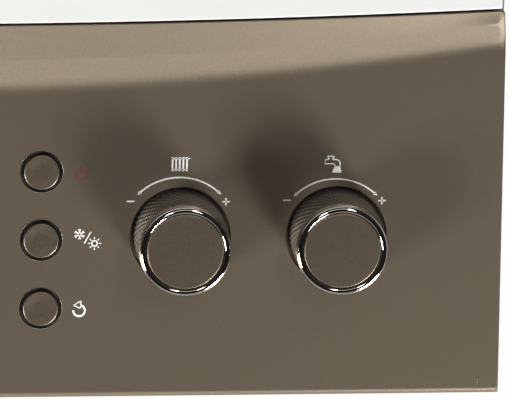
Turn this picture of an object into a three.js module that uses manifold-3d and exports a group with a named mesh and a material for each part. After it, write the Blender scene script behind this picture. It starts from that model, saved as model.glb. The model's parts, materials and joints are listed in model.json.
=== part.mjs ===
// Wall-mounted gas boiler with a taupe control panel that tilts down on two side trunnions.
// Millimetres, +Z up, +X to the right as seen from the front. The wall is the plane y = 0 and the
// front faces -Y. The origin is the centre of the wall bracket's rear face.
import * as THREE from 'three';
import { mergeVertices } from 'three/addons/utils/BufferGeometryUtils.js';
import Module from 'manifold-3d';

const wasm = await Module();
wasm.setup();

// Clearances and walls shared by many pieces.
const fit = 0.3;
const sheet = 1.2;
const overrun = 2;
const press = 0.6;

// White casing. Depths run forwards from the wall.
const casing = {
  width: 440, height: 740, top: 40, depth: 330, sideDepth: 290, panelGap: 0.8,
  frontFlange: 13, topFlange: 12, edgeRound: 3,
};

// Control panel moulding: heights are above the boiler's lowest edge, at the middle of its width,
// and each rise is how much higher the same line lies at the sides.
const fascia = {
  wall: 2.5, topHeight: 144.2, topRise: 4.9, creaseHeight: 131, creaseRise: 14,
  faceHeight: 120.9, faceRise: 17.4, bottomRise: 0.3, topRecess: 5, creaseRecess: 2.5,
  bottomRound: 2.6, rearGap: 1.6, postSize: 7, postSideInset: 30, postInset: 12,
};
const control = { rowHeight: 63.2, boardBehindFace: 18.3, boardThickness: 1.6 };
const boardSize = { widthShare: 0.9, bottomInset: 10, topInset: 22 };

// The two turning selectors. A place share is how far out a control sits, as a share of the
// casing's half width.
const knob = {
  heatingShare: 0.443, waterShare: 0.713, recessRadius: 19, recessDepth: 6, recessWall: 2,
    floor: 2,
  baseRadius: 17.9, frontRadius: 17.3, proud: 24, straight: 5, ringInner: 14.6, ringDepth: 5.7,
  ringChamfer: 1.6, crownShare: 0.5, crownRiseShare: 0.25, discThickness: 2.4, discSink: 0.6,
  shaftRadius: 3, shaftTip: 7,
};
const selector = { size: 17, shaftEngage: 6, shaftHole: 4 };

// The three push buttons in a column.
const button = {
  placeShare: 89 / 440, pitch: 26.65, row: 62.2, capRadius: 6.65, holeRadius: 8.05, proud: 1.2,
    flange: 1.5,
  flangeRadius: 8.9, guideWall: 1.6, guideLength: 5.5, stemRadius: 2.6, travel: 1.2,
  stemLength: 4, switchRadius: 3.2, switchSlack: 0.2,
};

// Display window and its module, left of the buttons.
const display = {
  placeShare: -0.1, widthShare: 19 / 110, height: 40, lensInset: 0.2, lip: 3.5, lipThickness: 1.2,
};

// Round pressure gauge at the far left.
const gauge = {
  placeShare: -7 / 11, bodyRadius: 22, bezelRadius: 24.5, bezelProud: 1.8, wall: 2, length: 17,
  dialThickness: 1, lensThickness: 2, lensSetback: 2.5, needleLength: 15, needleTail: 6,
  needleWidth: 1.6, tipShare: 0.3, needleThickness: 0.8, hubRadius: 3, hubLength: 2.6, restAngle: 225,
};

// Housing behind the fascia and the brackets that it turns in.
const controlBox = {
  wall: 2, rimEngage: 6, rimDepth: 6, traySideInset: 7, bottomInset: 6, topInset: 8, depth: 51,
  trunnionRadius: 4, trunnionBack: 8, trunnionUp: 4.5,
};
const hinge = { thickness: 2.2, length: 28, height: 28, ahead: 14 };

// Wall bracket, chassis and pipe rail.
const bracket = {
  sideInset: 50, height: 50, thickness: 3, hookInset: 100, hookWidth: 40, reach: 22, lip: 18, drop: 10,
};
const chassis = { standoff: 14.5, sideInset: 18.5, flangeDepth: 100, bottom: 10, top: 8, slot: 24 };
const rail = { thickness: 1.5, backDepth: 60, frontDepth: 150, above: 1 };

// Sealed combustion chamber and what it holds.
// Depths are given from the middle of the flue, and the fire box, the heat exchanger and the hood
// share the height that the burner and the fan leave.
const flue = { depth: 178 };
const chamber = {
  behindFlue: 90, aheadOfFlue: 92, topInset: 14, heightShare: 103 / 185, airHole: 48, lidLip: 8,
};
const burner = {
  widthShare: 23 / 44, behindFlue: 48, aheadOfFlue: 47, above: 20, height: 30, blades: 12,
  bladeGapShare: 0.42, trayHeight: 10,
};
const manifold = { height: 14, depth: 14, jetLength: 6, jetRadius: 2.4 };
const firebox = {
  widthShare: 25 / 44, behindFlue: 66, aheadOfFlue: 64, heightShare: 0.46, wall: 12, lug: 24,
};
const exchanger = { heightShare: 0.27, fins: 16, finShare: 0.45, spineShare: 0.3, elbow: 30 };
const hood = { heightShare: 0.27, outlet: 27, thickness: 1.2 };
const fan = {
  drumRadius: 50, drumX: -22, drumWidth: 62, wall: 2, ductDepth: 28, ductWidth: 50, ductTop: 44,
  spoutRadius: 30, belowTop: 146.8, impellerRadius: 43, impellerWidth: 28, blades: 12,
  bladeLength: 9, bladeThickness: 1.6, hubRadius: 9, shaftRadius: 4, inlet: 24,
  motorRadius: 32, motorLength: 42, motorEdge: 4, shaftEngage: 18,
};
const collar = {
  innerRadius: 30, innerWall: 1.5, outerRadius: 50, outerWall: 1.6, top: 58, footRadius: 62,
  foot: 1.6, socketDepth: 6.4, rimRadius: 59, rim: 3, rib: 3, ribHeight: 10,
};
const electrode = {
  radius: 4, length: 34, tipRadius: 1.3, tipLength: 14, plate: 16, above: 20, placeShare: 0.5,
};

// Water and gas group below the chamber. The five tails stand in one row.
const tails = {
  pitchShare: 10 / 31, depth: 105, radius: 9, bore: 7, below: 25, collarRadius: 13, collarHeight: 9,
};
const vessel = {
  radiusShare: 0.784, clear: 10, domeShare: 1 / 3, rim: 6, rimOut: 5, below: 212, nipple: 7,
  nippleLength: 14, nippleRoot: 2.4,
};
const gasValve = { width: 78, backDepth: 112, frontDepth: 198, above: 155, height: 95, coil: 14 };
const diverter = {
  halfWidth: 26, halfDepth: 28, above: 60, height: 120, motorSize: 46, motorHeight: 42,
  flangeShare: 0.7, flangeReach: 8.4,
};
const pump = {
  above: 182, voluteRadius: 54, voluteWidth: 44, centreDepth: 112, motorRadius: 44, motorLength: 78,
  blockHalfWidth: 28, blockHalfDepth: 28, blockAbove: 60, blockHeight: 68, portRadius: 12,
  capRecess: 3, motorEdge: 7.3, plugRadius: 11,
};
const plates = { above: 60, height: 46, halfDepth: 30, count: 7, groove: 2.2, grooveWidth: 3 };
const safety = {
  radius: 13, length: 32, capRadius: 17, capLength: 16, up: 22, lobes: 8, lobeShare: 0.08,
};
const tap = {
  radius: 10, height: 34, tubeRadius: 6, up: 24, knobRadius: 15, knobHeight: 18, knobEdge: 4.5,
  endShare: 0.9, flutes: 8, fluteAtShare: 1.08, fluteShare: 0.18, stem: 4,
};
const pipe = { radius: 7.5, bore: 6.3, bend: 22 };

// Round forms are drawn with these numbers of sides.
const sides = { nut: 6, small: 10, pipe: 8, medium: 14, large: 24, knob: 32 };
const panelStations = 14;
const bendSteps = 3;
const roundSteps = 3;
const alongShare = 0.9;

// Places that follow from the sizes above.
const halfWidth = casing.width / 2;
const chassisHalf = halfWidth - chassis.sideInset;
const bracketHalf = halfWidth - bracket.sideInset;
const hookX = halfWidth - bracket.hookInset;
const heatingX = halfWidth * knob.heatingShare;
const waterX = halfWidth * knob.waterShare;
const buttonX = halfWidth * button.placeShare;
const displayX = halfWidth * display.placeShare;
const displayWidth = casing.width * display.widthShare;
const gaugeX = halfWidth * gauge.placeShare;
const postX = halfWidth - fascia.postSideInset;
const boardWidth = casing.width * boardSize.widthShare;
const tailPitch = chassisHalf * tails.pitchShare;
const vesselRadius = chassisHalf * vessel.radiusShare;
const bottomZ = casing.top - casing.height;
const chamberTop = casing.top - chamber.topInset;
const chamberBottom = casing.top - casing.height * chamber.heightShare;
const burnerWidth = casing.width * burner.widthShare;
const burnerBack = flue.depth - burner.behindFlue;
const burnerFront = flue.depth + burner.aheadOfFlue;
const burnerBottom = chamberBottom + burner.above;
const fireboxWidth = casing.width * firebox.widthShare;
const fireboxBack = flue.depth - firebox.behindFlue;
const fireboxFront = flue.depth + firebox.aheadOfFlue;
const fireboxBottom = burnerBottom + burner.height + fit;
const fanBottom = chamberTop - fan.belowTop;
const sharedHeight = fanBottom - fireboxBottom - 3 * fit;
const fireboxHeight = sharedHeight * firebox.heightShare;
const exchangerBottom = fireboxBottom + fireboxHeight + fit;
const exchangerHeight = sharedHeight * exchanger.heightShare;
const hoodBottom = exchangerBottom + exchangerHeight + fit;
const hoodHeight = sharedHeight * hood.heightShare;
const vesselZ = casing.top - vessel.below;
const gasValveBottom = bottomZ + gasValve.above;
const gasValveTop = gasValveBottom + gasValve.height;
const diverterBottom = bottomZ + diverter.above;
const diverterTop = diverterBottom + diverter.height;
const pumpZ = bottomZ + pump.above;
const blockBottom = bottomZ + pump.blockAbove;
const blockTop = blockBottom + pump.blockHeight;
const platesBottom = bottomZ + plates.above;
const faceY = -casing.depth;
const coverY = faceY + fascia.topRecess;
const sideFrontY = -casing.sideDepth;
const arc = (height, rise, x) => bottomZ + height + rise * (x / halfWidth) ** 2;
const rowZ = bottomZ + control.rowHeight;
const boardFrontY = faceY + control.boardBehindFace;
const boardBackY = boardFrontY + control.boardThickness;
const fasciaRearY = sideFrontY - fascia.rearGap;

function solid(geometry) {
  const bare = geometry.clone();
  bare.deleteAttribute('normal');
  bare.deleteAttribute('uv');
  const merged = mergeVertices(bare, fit / 1000);
  const corners = merged.attributes.position.array;
  const index = merged.index.array;
  const faces = [];
  let volume = 0;
  for (let i = 0; i < index.length; i += 3) {
    const [a, b, c] = [index[i], index[i + 1], index[i + 2]];
    if (a === b || b === c || c === a) continue;
    faces.push(a, b, c);
    const [pa, pb, pc] = [a, b, c].map((n) => new THREE.Vector3().fromArray(corners, 3 * n));
    volume += pa.dot(pb.cross(pc));
  }
  if (volume < 0) faces.reverse();
  return new wasm.Manifold(new wasm.Mesh({
    numProp: 3,
    vertProperties: new Float32Array(corners),
    triVerts: new Uint32Array(faces),
  }));
}

function join(...parts) {
  return parts.reduce((whole, part) => whole.add(part));
}

function cut(body, ...tools) {
  return tools.reduce((rest, tool) => rest.subtract(tool), body);
}

// A block between two corners.
function block(x0, x1, y0, y1, z0, z1) {
  const geometry = new THREE.BoxGeometry(Math.abs(x1 - x0), Math.abs(y1 - y0), Math.abs(z1 - z0));
  geometry.translate((x0 + x1) / 2, (y0 + y1) / 2, (z0 + z1) / 2);
  return solid(geometry);
}

// A round bar along one axis, centred at (u, v) on the other two.
function rod(axis, u, v, radius, from, to, count = sides.medium) {
  const geometry = new THREE.CylinderGeometry(radius, radius, Math.abs(to - from), count);
  const middle = (from + to) / 2;
  if (axis === 'x') geometry.rotateZ(Math.PI / 2).translate(middle, u, v);
  if (axis === 'y') geometry.translate(u, middle, v);
  if (axis === 'z') geometry.rotateX(Math.PI / 2).translate(u, v, middle);
  return solid(geometry);
}

// A turned form about a line along Y through (x, z). Profile points are [radius, y].
function turned(profile, x, z, count = sides.knob) {
  const points = profile.map(([radius, y]) => new THREE.Vector2(radius, y));
  return solid(new THREE.LatheGeometry(points, count).translate(x, 0, z));
}

// A turned form about a vertical line through (x, y). Profile points are [radius, z].
function turnedUpright(profile, x, y, count = sides.large) {
  const points = profile.map(([radius, z]) => new THREE.Vector2(radius, z));
  return solid(new THREE.LatheGeometry(points, count).rotateX(Math.PI / 2).translate(x, y, 0));
}

// An outline of [x, z] points carried from y0 to y1.
function slab(outline, y0, y1) {
  const shape = new THREE.Shape(outline.map(([x, z]) => new THREE.Vector2(x, z)));
  const geometry = new THREE.ExtrudeGeometry(shape, { depth: Math.abs(y1 - y0), bevelEnabled: false });
  return solid(geometry.rotateX(Math.PI / 2).translate(0, Math.max(y0, y1), 0));
}

// A closed skin over rings of points, with a flat fan at each end.
function loft(rings) {
  const count = rings[0].length;
  const points = rings.flat(2);
  const faces = [];
  for (let r = 0; r + 1 < rings.length; r += 1) {
    for (let i = 0; i < count; i += 1) {
      const j = (i + 1) % count;
      const [a, b, c, d] = [r * count + i, r * count + j, (r + 1) * count + j, (r + 1) * count + i];
      faces.push(a, b, c, a, c, d);
    }
  }
  const last = (rings.length - 1) * count;
  for (let i = 1; i + 1 < count; i += 1) {
    faces.push(0, i + 1, i, last, last + i, last + i + 1);
  }
  const geometry = new THREE.BufferGeometry();
  geometry.setAttribute('position', new THREE.Float32BufferAttribute(points, 3));
  geometry.setIndex(faces);
  return solid(geometry);
}

// A round bar swept along straight runs that are joined by bends of one radius.
function bar(corners, radius, bend, count = sides.pipe) {
  const path = corners.map((corner) => new THREE.Vector3(...corner));
  const route = [path[0]];
  for (let i = 1; i + 1 < path.length; i += 1) {
    const before = path[i - 1].clone().sub(path[i]);
    const after = path[i + 1].clone().sub(path[i]);
    const reach = Math.min(bend, before.length() / 2, after.length() / 2);
    const start = path[i].clone().addScaledVector(before.normalize(), reach);
    const end = path[i].clone().addScaledVector(after.normalize(), reach);
    const curve = new THREE.QuadraticBezierCurve3(start, path[i], end);
    route.push(...curve.getPoints(bendSteps));
  }
  route.push(path[path.length - 1]);
  let across = new THREE.Vector3();
  const rings = route.map((point, i) => {
    const ahead = route[Math.min(i + 1, route.length - 1)];
    const behind = route[Math.max(i - 1, 0)];
    const along = ahead.clone().sub(behind).normalize();
    if (i === 0) {
      across.set(1, 0, 0);
      if (Math.abs(along.x) > alongShare) across.set(0, 0, 1);
    }
    across = across.clone().addScaledVector(along, -across.dot(along)).normalize();
    const up = new THREE.Vector3().crossVectors(along, across);
    return Array.from({ length: count }, (unused, k) => {
      const turn = (2 * Math.PI * k) / count;
      return point.clone()
        .addScaledVector(across, radius * Math.cos(turn))
        .addScaledVector(up, radius * Math.sin(turn)).toArray();
    });
  });
  return loft(rings);
}

// A hollow tube along the same kind of route, bored from end to end.
function tube(corners, radius, bore, bend) {
  const first = new THREE.Vector3(...corners[0]);
  const second = new THREE.Vector3(...corners[1]);
  const last = new THREE.Vector3(...corners[corners.length - 1]);
  const beforeLast = new THREE.Vector3(...corners[corners.length - 2]);
  const start = first.clone().add(first.clone().sub(second).setLength(overrun)).toArray();
  const end = last.clone().add(last.clone().sub(beforeLast).setLength(overrun)).toArray();
  const inner = [start, ...corners.slice(1, -1), end];
  return cut(bar(corners, radius, bend), bar(inner, bore, bend));
}

const paint = (color, roughness, metalness) => new THREE.MeshStandardMaterial({
  color, roughness, metalness,
});
const whitePaint = paint(0xf4f4f2, 0.35, 0);
const taupe = paint(0x7b7062, 0.38, 0.55);
const darkTaupe = paint(0x4c463d, 0.45, 0.5);
const chrome = paint(0xe2e2e2, 0.08, 1);
const blackPlastic = paint(0x232323, 0.5, 0);
const greyPlastic = paint(0x8a8c8e, 0.55, 0);
const zinc = paint(0xaeb2b3, 0.4, 0.9);
const copper = paint(0xb8734a, 0.3, 1);
const brass = paint(0xb79a57, 0.35, 1);
const steel = paint(0xb9bcbe, 0.3, 1);
const castIron = paint(0x3d4143, 0.6, 0.6);
const redPaint = paint(0xa32a22, 0.4, 0);
const glass = paint(0x20262a, 0.1, 0);
const white = paint(0xf2f2ee, 0.6, 0);
const ceramic = paint(0xe9e4d6, 0.5, 0);
const boardGreen = paint(0x2d6a3c, 0.5, 0);

const boiler = new THREE.Group();

function piece(name, body, material) {
  const mesh = body.getMesh();
  const geometry = new THREE.BufferGeometry();
  const places = new Float32Array(mesh.numVert * 3);
  for (let i = 0; i < mesh.numVert; i += 1) {
    for (let k = 0; k < 3; k += 1) places[3 * i + k] = mesh.vertProperties[mesh.numProp * i + k];
  }
  geometry.setAttribute('position', new THREE.BufferAttribute(places, 3));
  geometry.setIndex(new THREE.BufferAttribute(new Uint32Array(mesh.triVerts), 1));
  geometry.computeVertexNormals();
  const node = new THREE.Mesh(geometry, material);
  node.name = name;
  boiler.add(node);
}

// Wall bracket: a plate with two upturned hooks that the chassis hangs on.
const hookTopZ = -bracket.drop + bracket.thickness;
function wallBracket() {
  const plate = block(-bracketHalf, bracketHalf, -bracket.thickness, 0, -bracket.height / 2,
    bracket.height / 2);
  const hooks = [-hookX, hookX].map((x) => {
    const [left, right] = [x - bracket.hookWidth / 2, x + bracket.hookWidth / 2];
    const ledge = block(left, right, -bracket.reach, -press, -bracket.drop, hookTopZ);
    const lipBack = -bracket.reach + bracket.thickness;
    return ledge.add(block(left, right, -bracket.reach, lipBack, -bracket.drop,
      bracket.lip - bracket.drop));
  });
  return join(plate, ...hooks);
}

// Chassis: a back plate with two forward flanges and a slot for each hook.
const chassisFrontY = -chassis.standoff - sheet;
function backFrame() {
  const z0 = bottomZ + chassis.bottom;
  const z1 = casing.top - chassis.top;
  const out = chassisHalf;
  const plate = block(-out, out, chassisFrontY, -chassis.standoff, z0, z1);
  const flanges = [-1, 1].map((side) => (
    block(side * (out - sheet), side * out, -chassis.flangeDepth, -chassis.standoff, z0, z1)
  ));
  const slots = [-hookX, hookX].map((x) => {
    const reach = bracket.hookWidth / 2 + overrun;
    const top = hookTopZ + fit;
    return block(x - reach, x + reach, -bracket.reach, 0, top - chassis.slot, top);
  });
  return cut(join(plate, ...flanges), ...slots);
}

// Side panels: white sheets with a return at the front and another that meets the chassis.
function sidePanel(side) {
  const outer = side * halfWidth;
  const inner = side * (halfWidth - sheet);
  const skin = block(inner, outer, sideFrontY, 0, bottomZ, casing.top);
  const returnX = side * (halfWidth - casing.frontFlange);
  const above = arc(fascia.topHeight, fascia.topRise, halfWidth) + casing.panelGap;
  const front = block(returnX, outer, sideFrontY, sideFrontY + sheet, above, casing.top);
  const meetX = side * (chassisHalf + fit);
  const rear = block(meetX, outer, chassisFrontY, -chassis.standoff, bottomZ + chassis.bottom,
    casing.top - chassis.top);
  return join(skin, front, rear);
}

// Top plate with turned-down edges, open round the flue collar.
function topPlate() {
  const half = halfWidth - sheet - fit;
  const [back, front] = [chassisFrontY - fit, sideFrontY + sheet + fit];
  const plate = block(-half, half, front, back, casing.top - sheet, casing.top);
  const lips = [
    block(-half, -half + sheet, front, back, casing.top - casing.topFlange, casing.top),
    block(half - sheet, half, front, back, casing.top - casing.topFlange, casing.top),
  ];
  const opening = rod('z', 0, -flue.depth, collar.outerRadius + press, chamberTop,
    casing.top + overrun,
    sides.large);
  return cut(join(plate, ...lips), opening);
}

// Front cover: a shallow tray whose lower edge follows the arc of the control panel.
function coverOutline(inset) {
  const half = halfWidth - inset;
  const low = Array.from({ length: panelStations + 1 }, (unused, i) => {
    const x = -half + (2 * half * i) / panelStations;
    return [x, arc(fascia.topHeight, fascia.topRise, x) + casing.panelGap + inset];
  });
  const top = casing.top - inset;
  return [...low, [half, top], [-half, top]];
}

function frontCover() {
  const rear = sideFrontY - fit;
  const round = casing.edgeRound;
  const body = slab(coverOutline(0), coverY + round, rear);
  const steps = [1, 2].map((n) => {
    const turn = (n * Math.PI) / (2 * roundSteps);
    const inset = round * (1 - Math.cos(turn));
    return slab(coverOutline(inset), coverY + round * (1 - Math.sin(turn)), coverY + round + overrun);
  });
  const face = slab(coverOutline(round), coverY, coverY + round + overrun);
  const hollow = slab(coverOutline(round + sheet), coverY + sheet, rear + overrun);
  const mouth = slab(coverOutline(sheet), coverY + round, rear + overrun);
  return cut(join(body, ...steps, face), hollow, mouth);
}

// Rail that holds the five pipe tails.
const railZ = bottomZ + rail.above;
const tailX = [-2, -1, 0, 1, 2].map((n) => n * tailPitch);
const tapX = (tailX[3] + tailX[4]) / 2;
function pipeRail() {
  const half = chassisHalf - sheet - fit;
  const plate = block(-half, half, -rail.frontDepth, -rail.backDepth, railZ, railZ + rail.thickness);
  const stiff = block(-half, half, -rail.frontDepth, -rail.frontDepth + rail.thickness, railZ,
    railZ + tails.collarHeight);
  const hole = (x, radius) => rod('z', x, -tails.depth, radius + fit, railZ - overrun,
    railZ + rail.thickness + overrun);
  const holes = tailX.map((x) => hole(x, tails.radius));
  const tapHole = hole(tapX, tap.radius);
  return cut(join(plate, stiff), ...holes, tapHole);
}

piece('wall_bracket', wallBracket(), zinc);
piece('back_frame', backFrame(), zinc);
piece('left_side_panel', sidePanel(-1), whitePaint);
piece('right_side_panel', sidePanel(1), whitePaint);
piece('top_plate', topPlate(), whitePaint);
piece('front_cover', frontCover(), whitePaint);
piece('pipe_rail', pipeRail(), zinc);

// Fascia: each ring is the section at one distance from the middle. The face ends at an arc, above
// which two bands lean back to the casing and meet in a crease.
function fasciaRing(x) {
  const low = arc(0, fascia.bottomRise, x);
  const round = fascia.bottomRound;
  const diagonal = round * (1 - Math.SQRT1_2);
  return [
    [x, fasciaRearY, low],
    [x, faceY + round, low],
    [x, faceY + diagonal, low + diagonal],
    [x, faceY, low + round],
    [x, faceY, arc(fascia.faceHeight, fascia.faceRise, x)],
    [x, faceY + fascia.creaseRecess, arc(fascia.creaseHeight, fascia.creaseRise, x)],
    [x, faceY + fascia.topRecess, arc(fascia.topHeight, fascia.topRise, x)],
    [x, fasciaRearY, arc(fascia.topHeight, fascia.topRise, x)],
  ];
}

function hollowRing(x) {
  const low = arc(0, fascia.bottomRise, x) + fascia.wall;
  const high = arc(fascia.topHeight, fascia.topRise, x) - fascia.wall;
  const inside = faceY + fascia.wall;
  return [
    [x, fasciaRearY + overrun, low],
    [x, inside, low],
    [x, inside, arc(fascia.faceHeight, fascia.faceRise, x)],
    [x, inside + fascia.creaseRecess, arc(fascia.creaseHeight, fascia.creaseRise, x)],
    [x, inside + fascia.topRecess, high],
    [x, fasciaRearY + overrun, high],
  ];
}

function across(half, ring) {
  return loft(Array.from({ length: panelStations + 1 }, (unused, i) => (
    ring(-half + (2 * half * i) / panelStations)
  )));
}

const recessFloorY = faceY + knob.recessDepth;
const buttonZ = [1, 0, -1].map((n) => bottomZ + button.row + n * button.pitch);
const boardLow = bottomZ + boardSize.bottomInset;
const boardHigh = bottomZ + fascia.topHeight - boardSize.topInset;
function controlFascia() {
  const shell = cut(across(halfWidth, fasciaRing), across(halfWidth - fascia.wall, hollowRing));
  const inside = faceY + fascia.wall;
  const added = [];
  const removed = [];
  for (const x of [heatingX, waterX]) {
    added.push(rod('y', x, rowZ, knob.recessRadius + knob.recessWall, inside - press,
      recessFloorY + knob.floor, sides.knob));
    removed.push(rod('y', x, rowZ, knob.recessRadius, faceY - overrun, recessFloorY, sides.knob));
    removed.push(rod('y', x, rowZ, selector.shaftHole, recessFloorY - overrun,
      recessFloorY + knob.floor + overrun, sides.small));
  }
  for (const z of buttonZ) {
    const guide = button.flangeRadius + fit;
    added.push(rod('y', buttonX, z, guide + button.guideWall, inside - press,
      inside + button.guideLength, sides.medium));
    removed.push(rod('y', buttonX, z, guide, inside, inside + button.guideLength + overrun,
      sides.medium));
    removed.push(rod('y', buttonX, z, button.holeRadius, faceY - overrun, inside + overrun,
      sides.medium));
  }
  for (const x of [-postX, postX]) {
    for (const z of [boardLow + fascia.postInset, boardHigh - fascia.postInset]) {
      const half = fascia.postSize / 2;
      added.push(block(x - half, x + half, inside - press, boardFrontY - fit, z - half, z + half));
    }
  }
  removed.push(block(displayX - displayWidth / 2, displayX + displayWidth / 2, faceY - overrun,
    inside + overrun, rowZ - display.height / 2, rowZ + display.height / 2));
  removed.push(rod('y', gaugeX, rowZ, gauge.bodyRadius + fit, faceY - overrun, inside + overrun,
    sides.large));
  return cut(join(shell, ...added), ...removed);
}

// Knob: a tapering skirt on a shaft, with a bright ring let into its front round a flat disc.
const knobFrontY = faceY - knob.proud;
const ringBackY = knobFrontY + knob.ringDepth;
const discBackY = knobFrontY + knob.discSink + knob.discThickness;
const shaftBackY = recessFloorY + knob.floor + fit + selector.shaftEngage;
function knobSkirt(x) {
  const bore = knob.shaftRadius + fit;
  const seat = knob.ringInner - fit;
  const backY = recessFloorY - fit;
  return turned([
    [bore, backY], [knob.baseRadius, backY], [knob.baseRadius, backY - knob.straight],
    [knob.frontRadius, ringBackY + fit], [seat, ringBackY + fit], [seat, discBackY + fit],
    [bore, discBackY + fit], [bore, backY],
  ], x, rowZ);
}

function knobRing(x) {
  const out = knob.frontRadius;
  const edge = knob.ringChamfer;
  const inner = knob.ringInner;
  return turned([
    [inner, ringBackY], [out, ringBackY], [out, knobFrontY + edge],
    [out - edge * knob.crownShare, knobFrontY + edge * knob.crownRiseShare], [out - edge, knobFrontY],
    [inner, knobFrontY + edge * knob.crownShare], [inner, ringBackY],
  ], x, rowZ);
}

function selectorBody(x) {
  const half = selector.size / 2;
  const frontY = recessFloorY + knob.floor + fit;
  const body = block(x - half, x + half, frontY, boardFrontY - fit, rowZ - half, rowZ + half);
  return cut(body, rod('y', x, rowZ, knob.shaftRadius + fit, frontY - overrun, boardFrontY,
    sides.small));
}

function pushButton(z) {
  const inside = faceY + fascia.wall + fit;
  const flangeBack = inside + button.flange;
  return join(
    rod('y', buttonX, z, button.capRadius, faceY - button.proud, flangeBack, sides.medium),
    rod('y', buttonX, z, button.flangeRadius, inside, flangeBack, sides.medium),
    rod('y', buttonX, z, button.stemRadius, flangeBack - press, flangeBack + button.stemLength,
      sides.small),
  );
}

// Circuit board with the parts that are soldered to it.
const stemEndY = faceY + fascia.wall + fit + button.flange + button.stemLength;
function controlBoard() {
  const half = boardWidth / 2;
  const panel = block(-half, half, boardFrontY, boardBackY, boardLow, boardHigh);
  const middle = (boardLow + boardHigh) / 2;
  const rise = boardHigh - boardLow;
  const shares = [[-0.38, 0.05, 0.14, 0.4, 0.9], [-0.12, 0.2, 0.07, 0.3, 0.6], [0.02, 0.2, 0.07,
    0.3, 0.6],
    [0.16, 0.2, 0.07, 0.3, 0.6], [0.34, -0.1, 0.06, 0.5, 0.75], [0.05, -0.33, 0.3, 0.12, 0.4]];
  const tall = control.boardBehindFace;
  const parts = shares.map(([x, z, width, height, depth]) => block(
    (x - width / 2) * boardWidth, (x + width / 2) * boardWidth,
    boardBackY - press, boardBackY + depth * tall,
    middle + (z - height / 2) * rise, middle + (z + height / 2) * rise,
  ));
  const slack = button.travel + button.switchSlack;
  const switches = buttonZ.map((z) => rod('y', buttonX, z, button.switchRadius, stemEndY + slack,
    boardFrontY + press, sides.small));
  return join(panel, ...parts, ...switches);
}

const lensFrontY = faceY + display.lensInset;
const inDisplay = (grow, y0, y1) => block(
  displayX - displayWidth / 2 - grow, displayX + displayWidth / 2 + grow, y0, y1,
  rowZ - display.height / 2 - grow, rowZ + display.height / 2 + grow,
);
const lipFrontY = faceY + fascia.wall + fit;
function displayLens() {
  return join(
    inDisplay(-fit, lensFrontY, lipFrontY + press),
    inDisplay(display.lip, lipFrontY, lipFrontY + display.lipThickness),
  );
}

piece('control_fascia', controlFascia(), taupe);
piece('control_board', controlBoard(), boardGreen);
piece('display_lens', displayLens(), glass);
piece('display_module', inDisplay(-fascia.wall, lipFrontY + display.lipThickness + fit,
  boardFrontY - fit),
  blackPlastic);
['on_off_button', 'season_button', 'reset_button'].forEach((name, i) => {
  piece(name, pushButton(buttonZ[i]), taupe);
});
for (const [name, x] of [['heating', heatingX], ['water', waterX]]) {
  piece(`${name}_knob`, knobSkirt(x), darkTaupe);
  piece(`${name}_knob_ring`, knobRing(x), chrome);
  piece(`${name}_knob_disc`, rod('y', x, rowZ, knob.ringInner - fit, knobFrontY + knob.discSink,
    discBackY, sides.knob), taupe);
  piece(`${name}_selector`, selectorBody(x), blackPlastic);
  piece(`${name}_selector_shaft`, rod('y', x, rowZ, knob.shaftRadius, knobFrontY + knob.shaftTip,
    shaftBackY, sides.small), steel);
}

// Pressure gauge: a cup with a bezel, a dial, a needle on its hub and a glass.
const gaugeBackY = faceY + gauge.length;
const dialBackY = gaugeBackY - gauge.wall - fit;
const dialFrontY = dialBackY - gauge.dialThickness;
const gaugeInner = gauge.bodyRadius - gauge.wall;
const gaugeLensY = faceY + gauge.lensSetback;
function gaugeCase() {
  const bezelFront = faceY - gauge.bezelProud;
  const bezelBack = faceY - fit;
  return turned([
    [0, gaugeBackY - gauge.wall], [gaugeInner, gaugeBackY - gauge.wall], [gaugeInner, bezelFront],
    [gauge.bezelRadius - gauge.wall / 2, bezelFront], [gauge.bezelRadius, bezelFront + gauge.wall / 2],
    [gauge.bezelRadius, bezelBack], [gauge.bodyRadius, bezelBack], [gauge.bodyRadius, gaugeBackY],
    [0, gaugeBackY],
  ], gaugeX, rowZ, sides.large);
}

function gaugeNeedle() {
  const hubBack = dialFrontY - fit;
  const hubFront = hubBack - gauge.hubLength;
  const turn = THREE.MathUtils.degToRad(gauge.restAngle);
  const along = new THREE.Vector3(Math.cos(turn), 0, Math.sin(turn));
  const side = new THREE.Vector3(-along.z, 0, along.x).multiplyScalar(gauge.needleWidth / 2);
  const hub = rod('y', gaugeX, rowZ, gauge.hubRadius, hubFront, hubBack, sides.small);
  const centre = new THREE.Vector3(gaugeX, 0, rowZ);
  const tip = centre.clone().addScaledVector(along, gauge.needleLength);
  const tail = centre.clone().addScaledVector(along, -gauge.needleTail);
  const outline = [tail.clone().add(side), tip.clone().addScaledVector(side, gauge.tipShare),
    tip.clone().addScaledVector(side, -gauge.tipShare), tail.clone().sub(side)].map((p) => [p.x, p.z]);
  return join(hub, slab(outline, hubFront, hubFront + gauge.needleThickness));
}

piece('gauge_case', gaugeCase(), blackPlastic);
piece('gauge_dial', rod('y', gaugeX, rowZ, gaugeInner - fit, dialFrontY, dialBackY, sides.large),
  white);
piece('gauge_needle', gaugeNeedle(), redPaint);
piece('gauge_lens', rod('y', gaugeX, rowZ, gaugeInner - fit, gaugeLensY,
  gaugeLensY + gauge.lensThickness, sides.large), glass);

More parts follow.
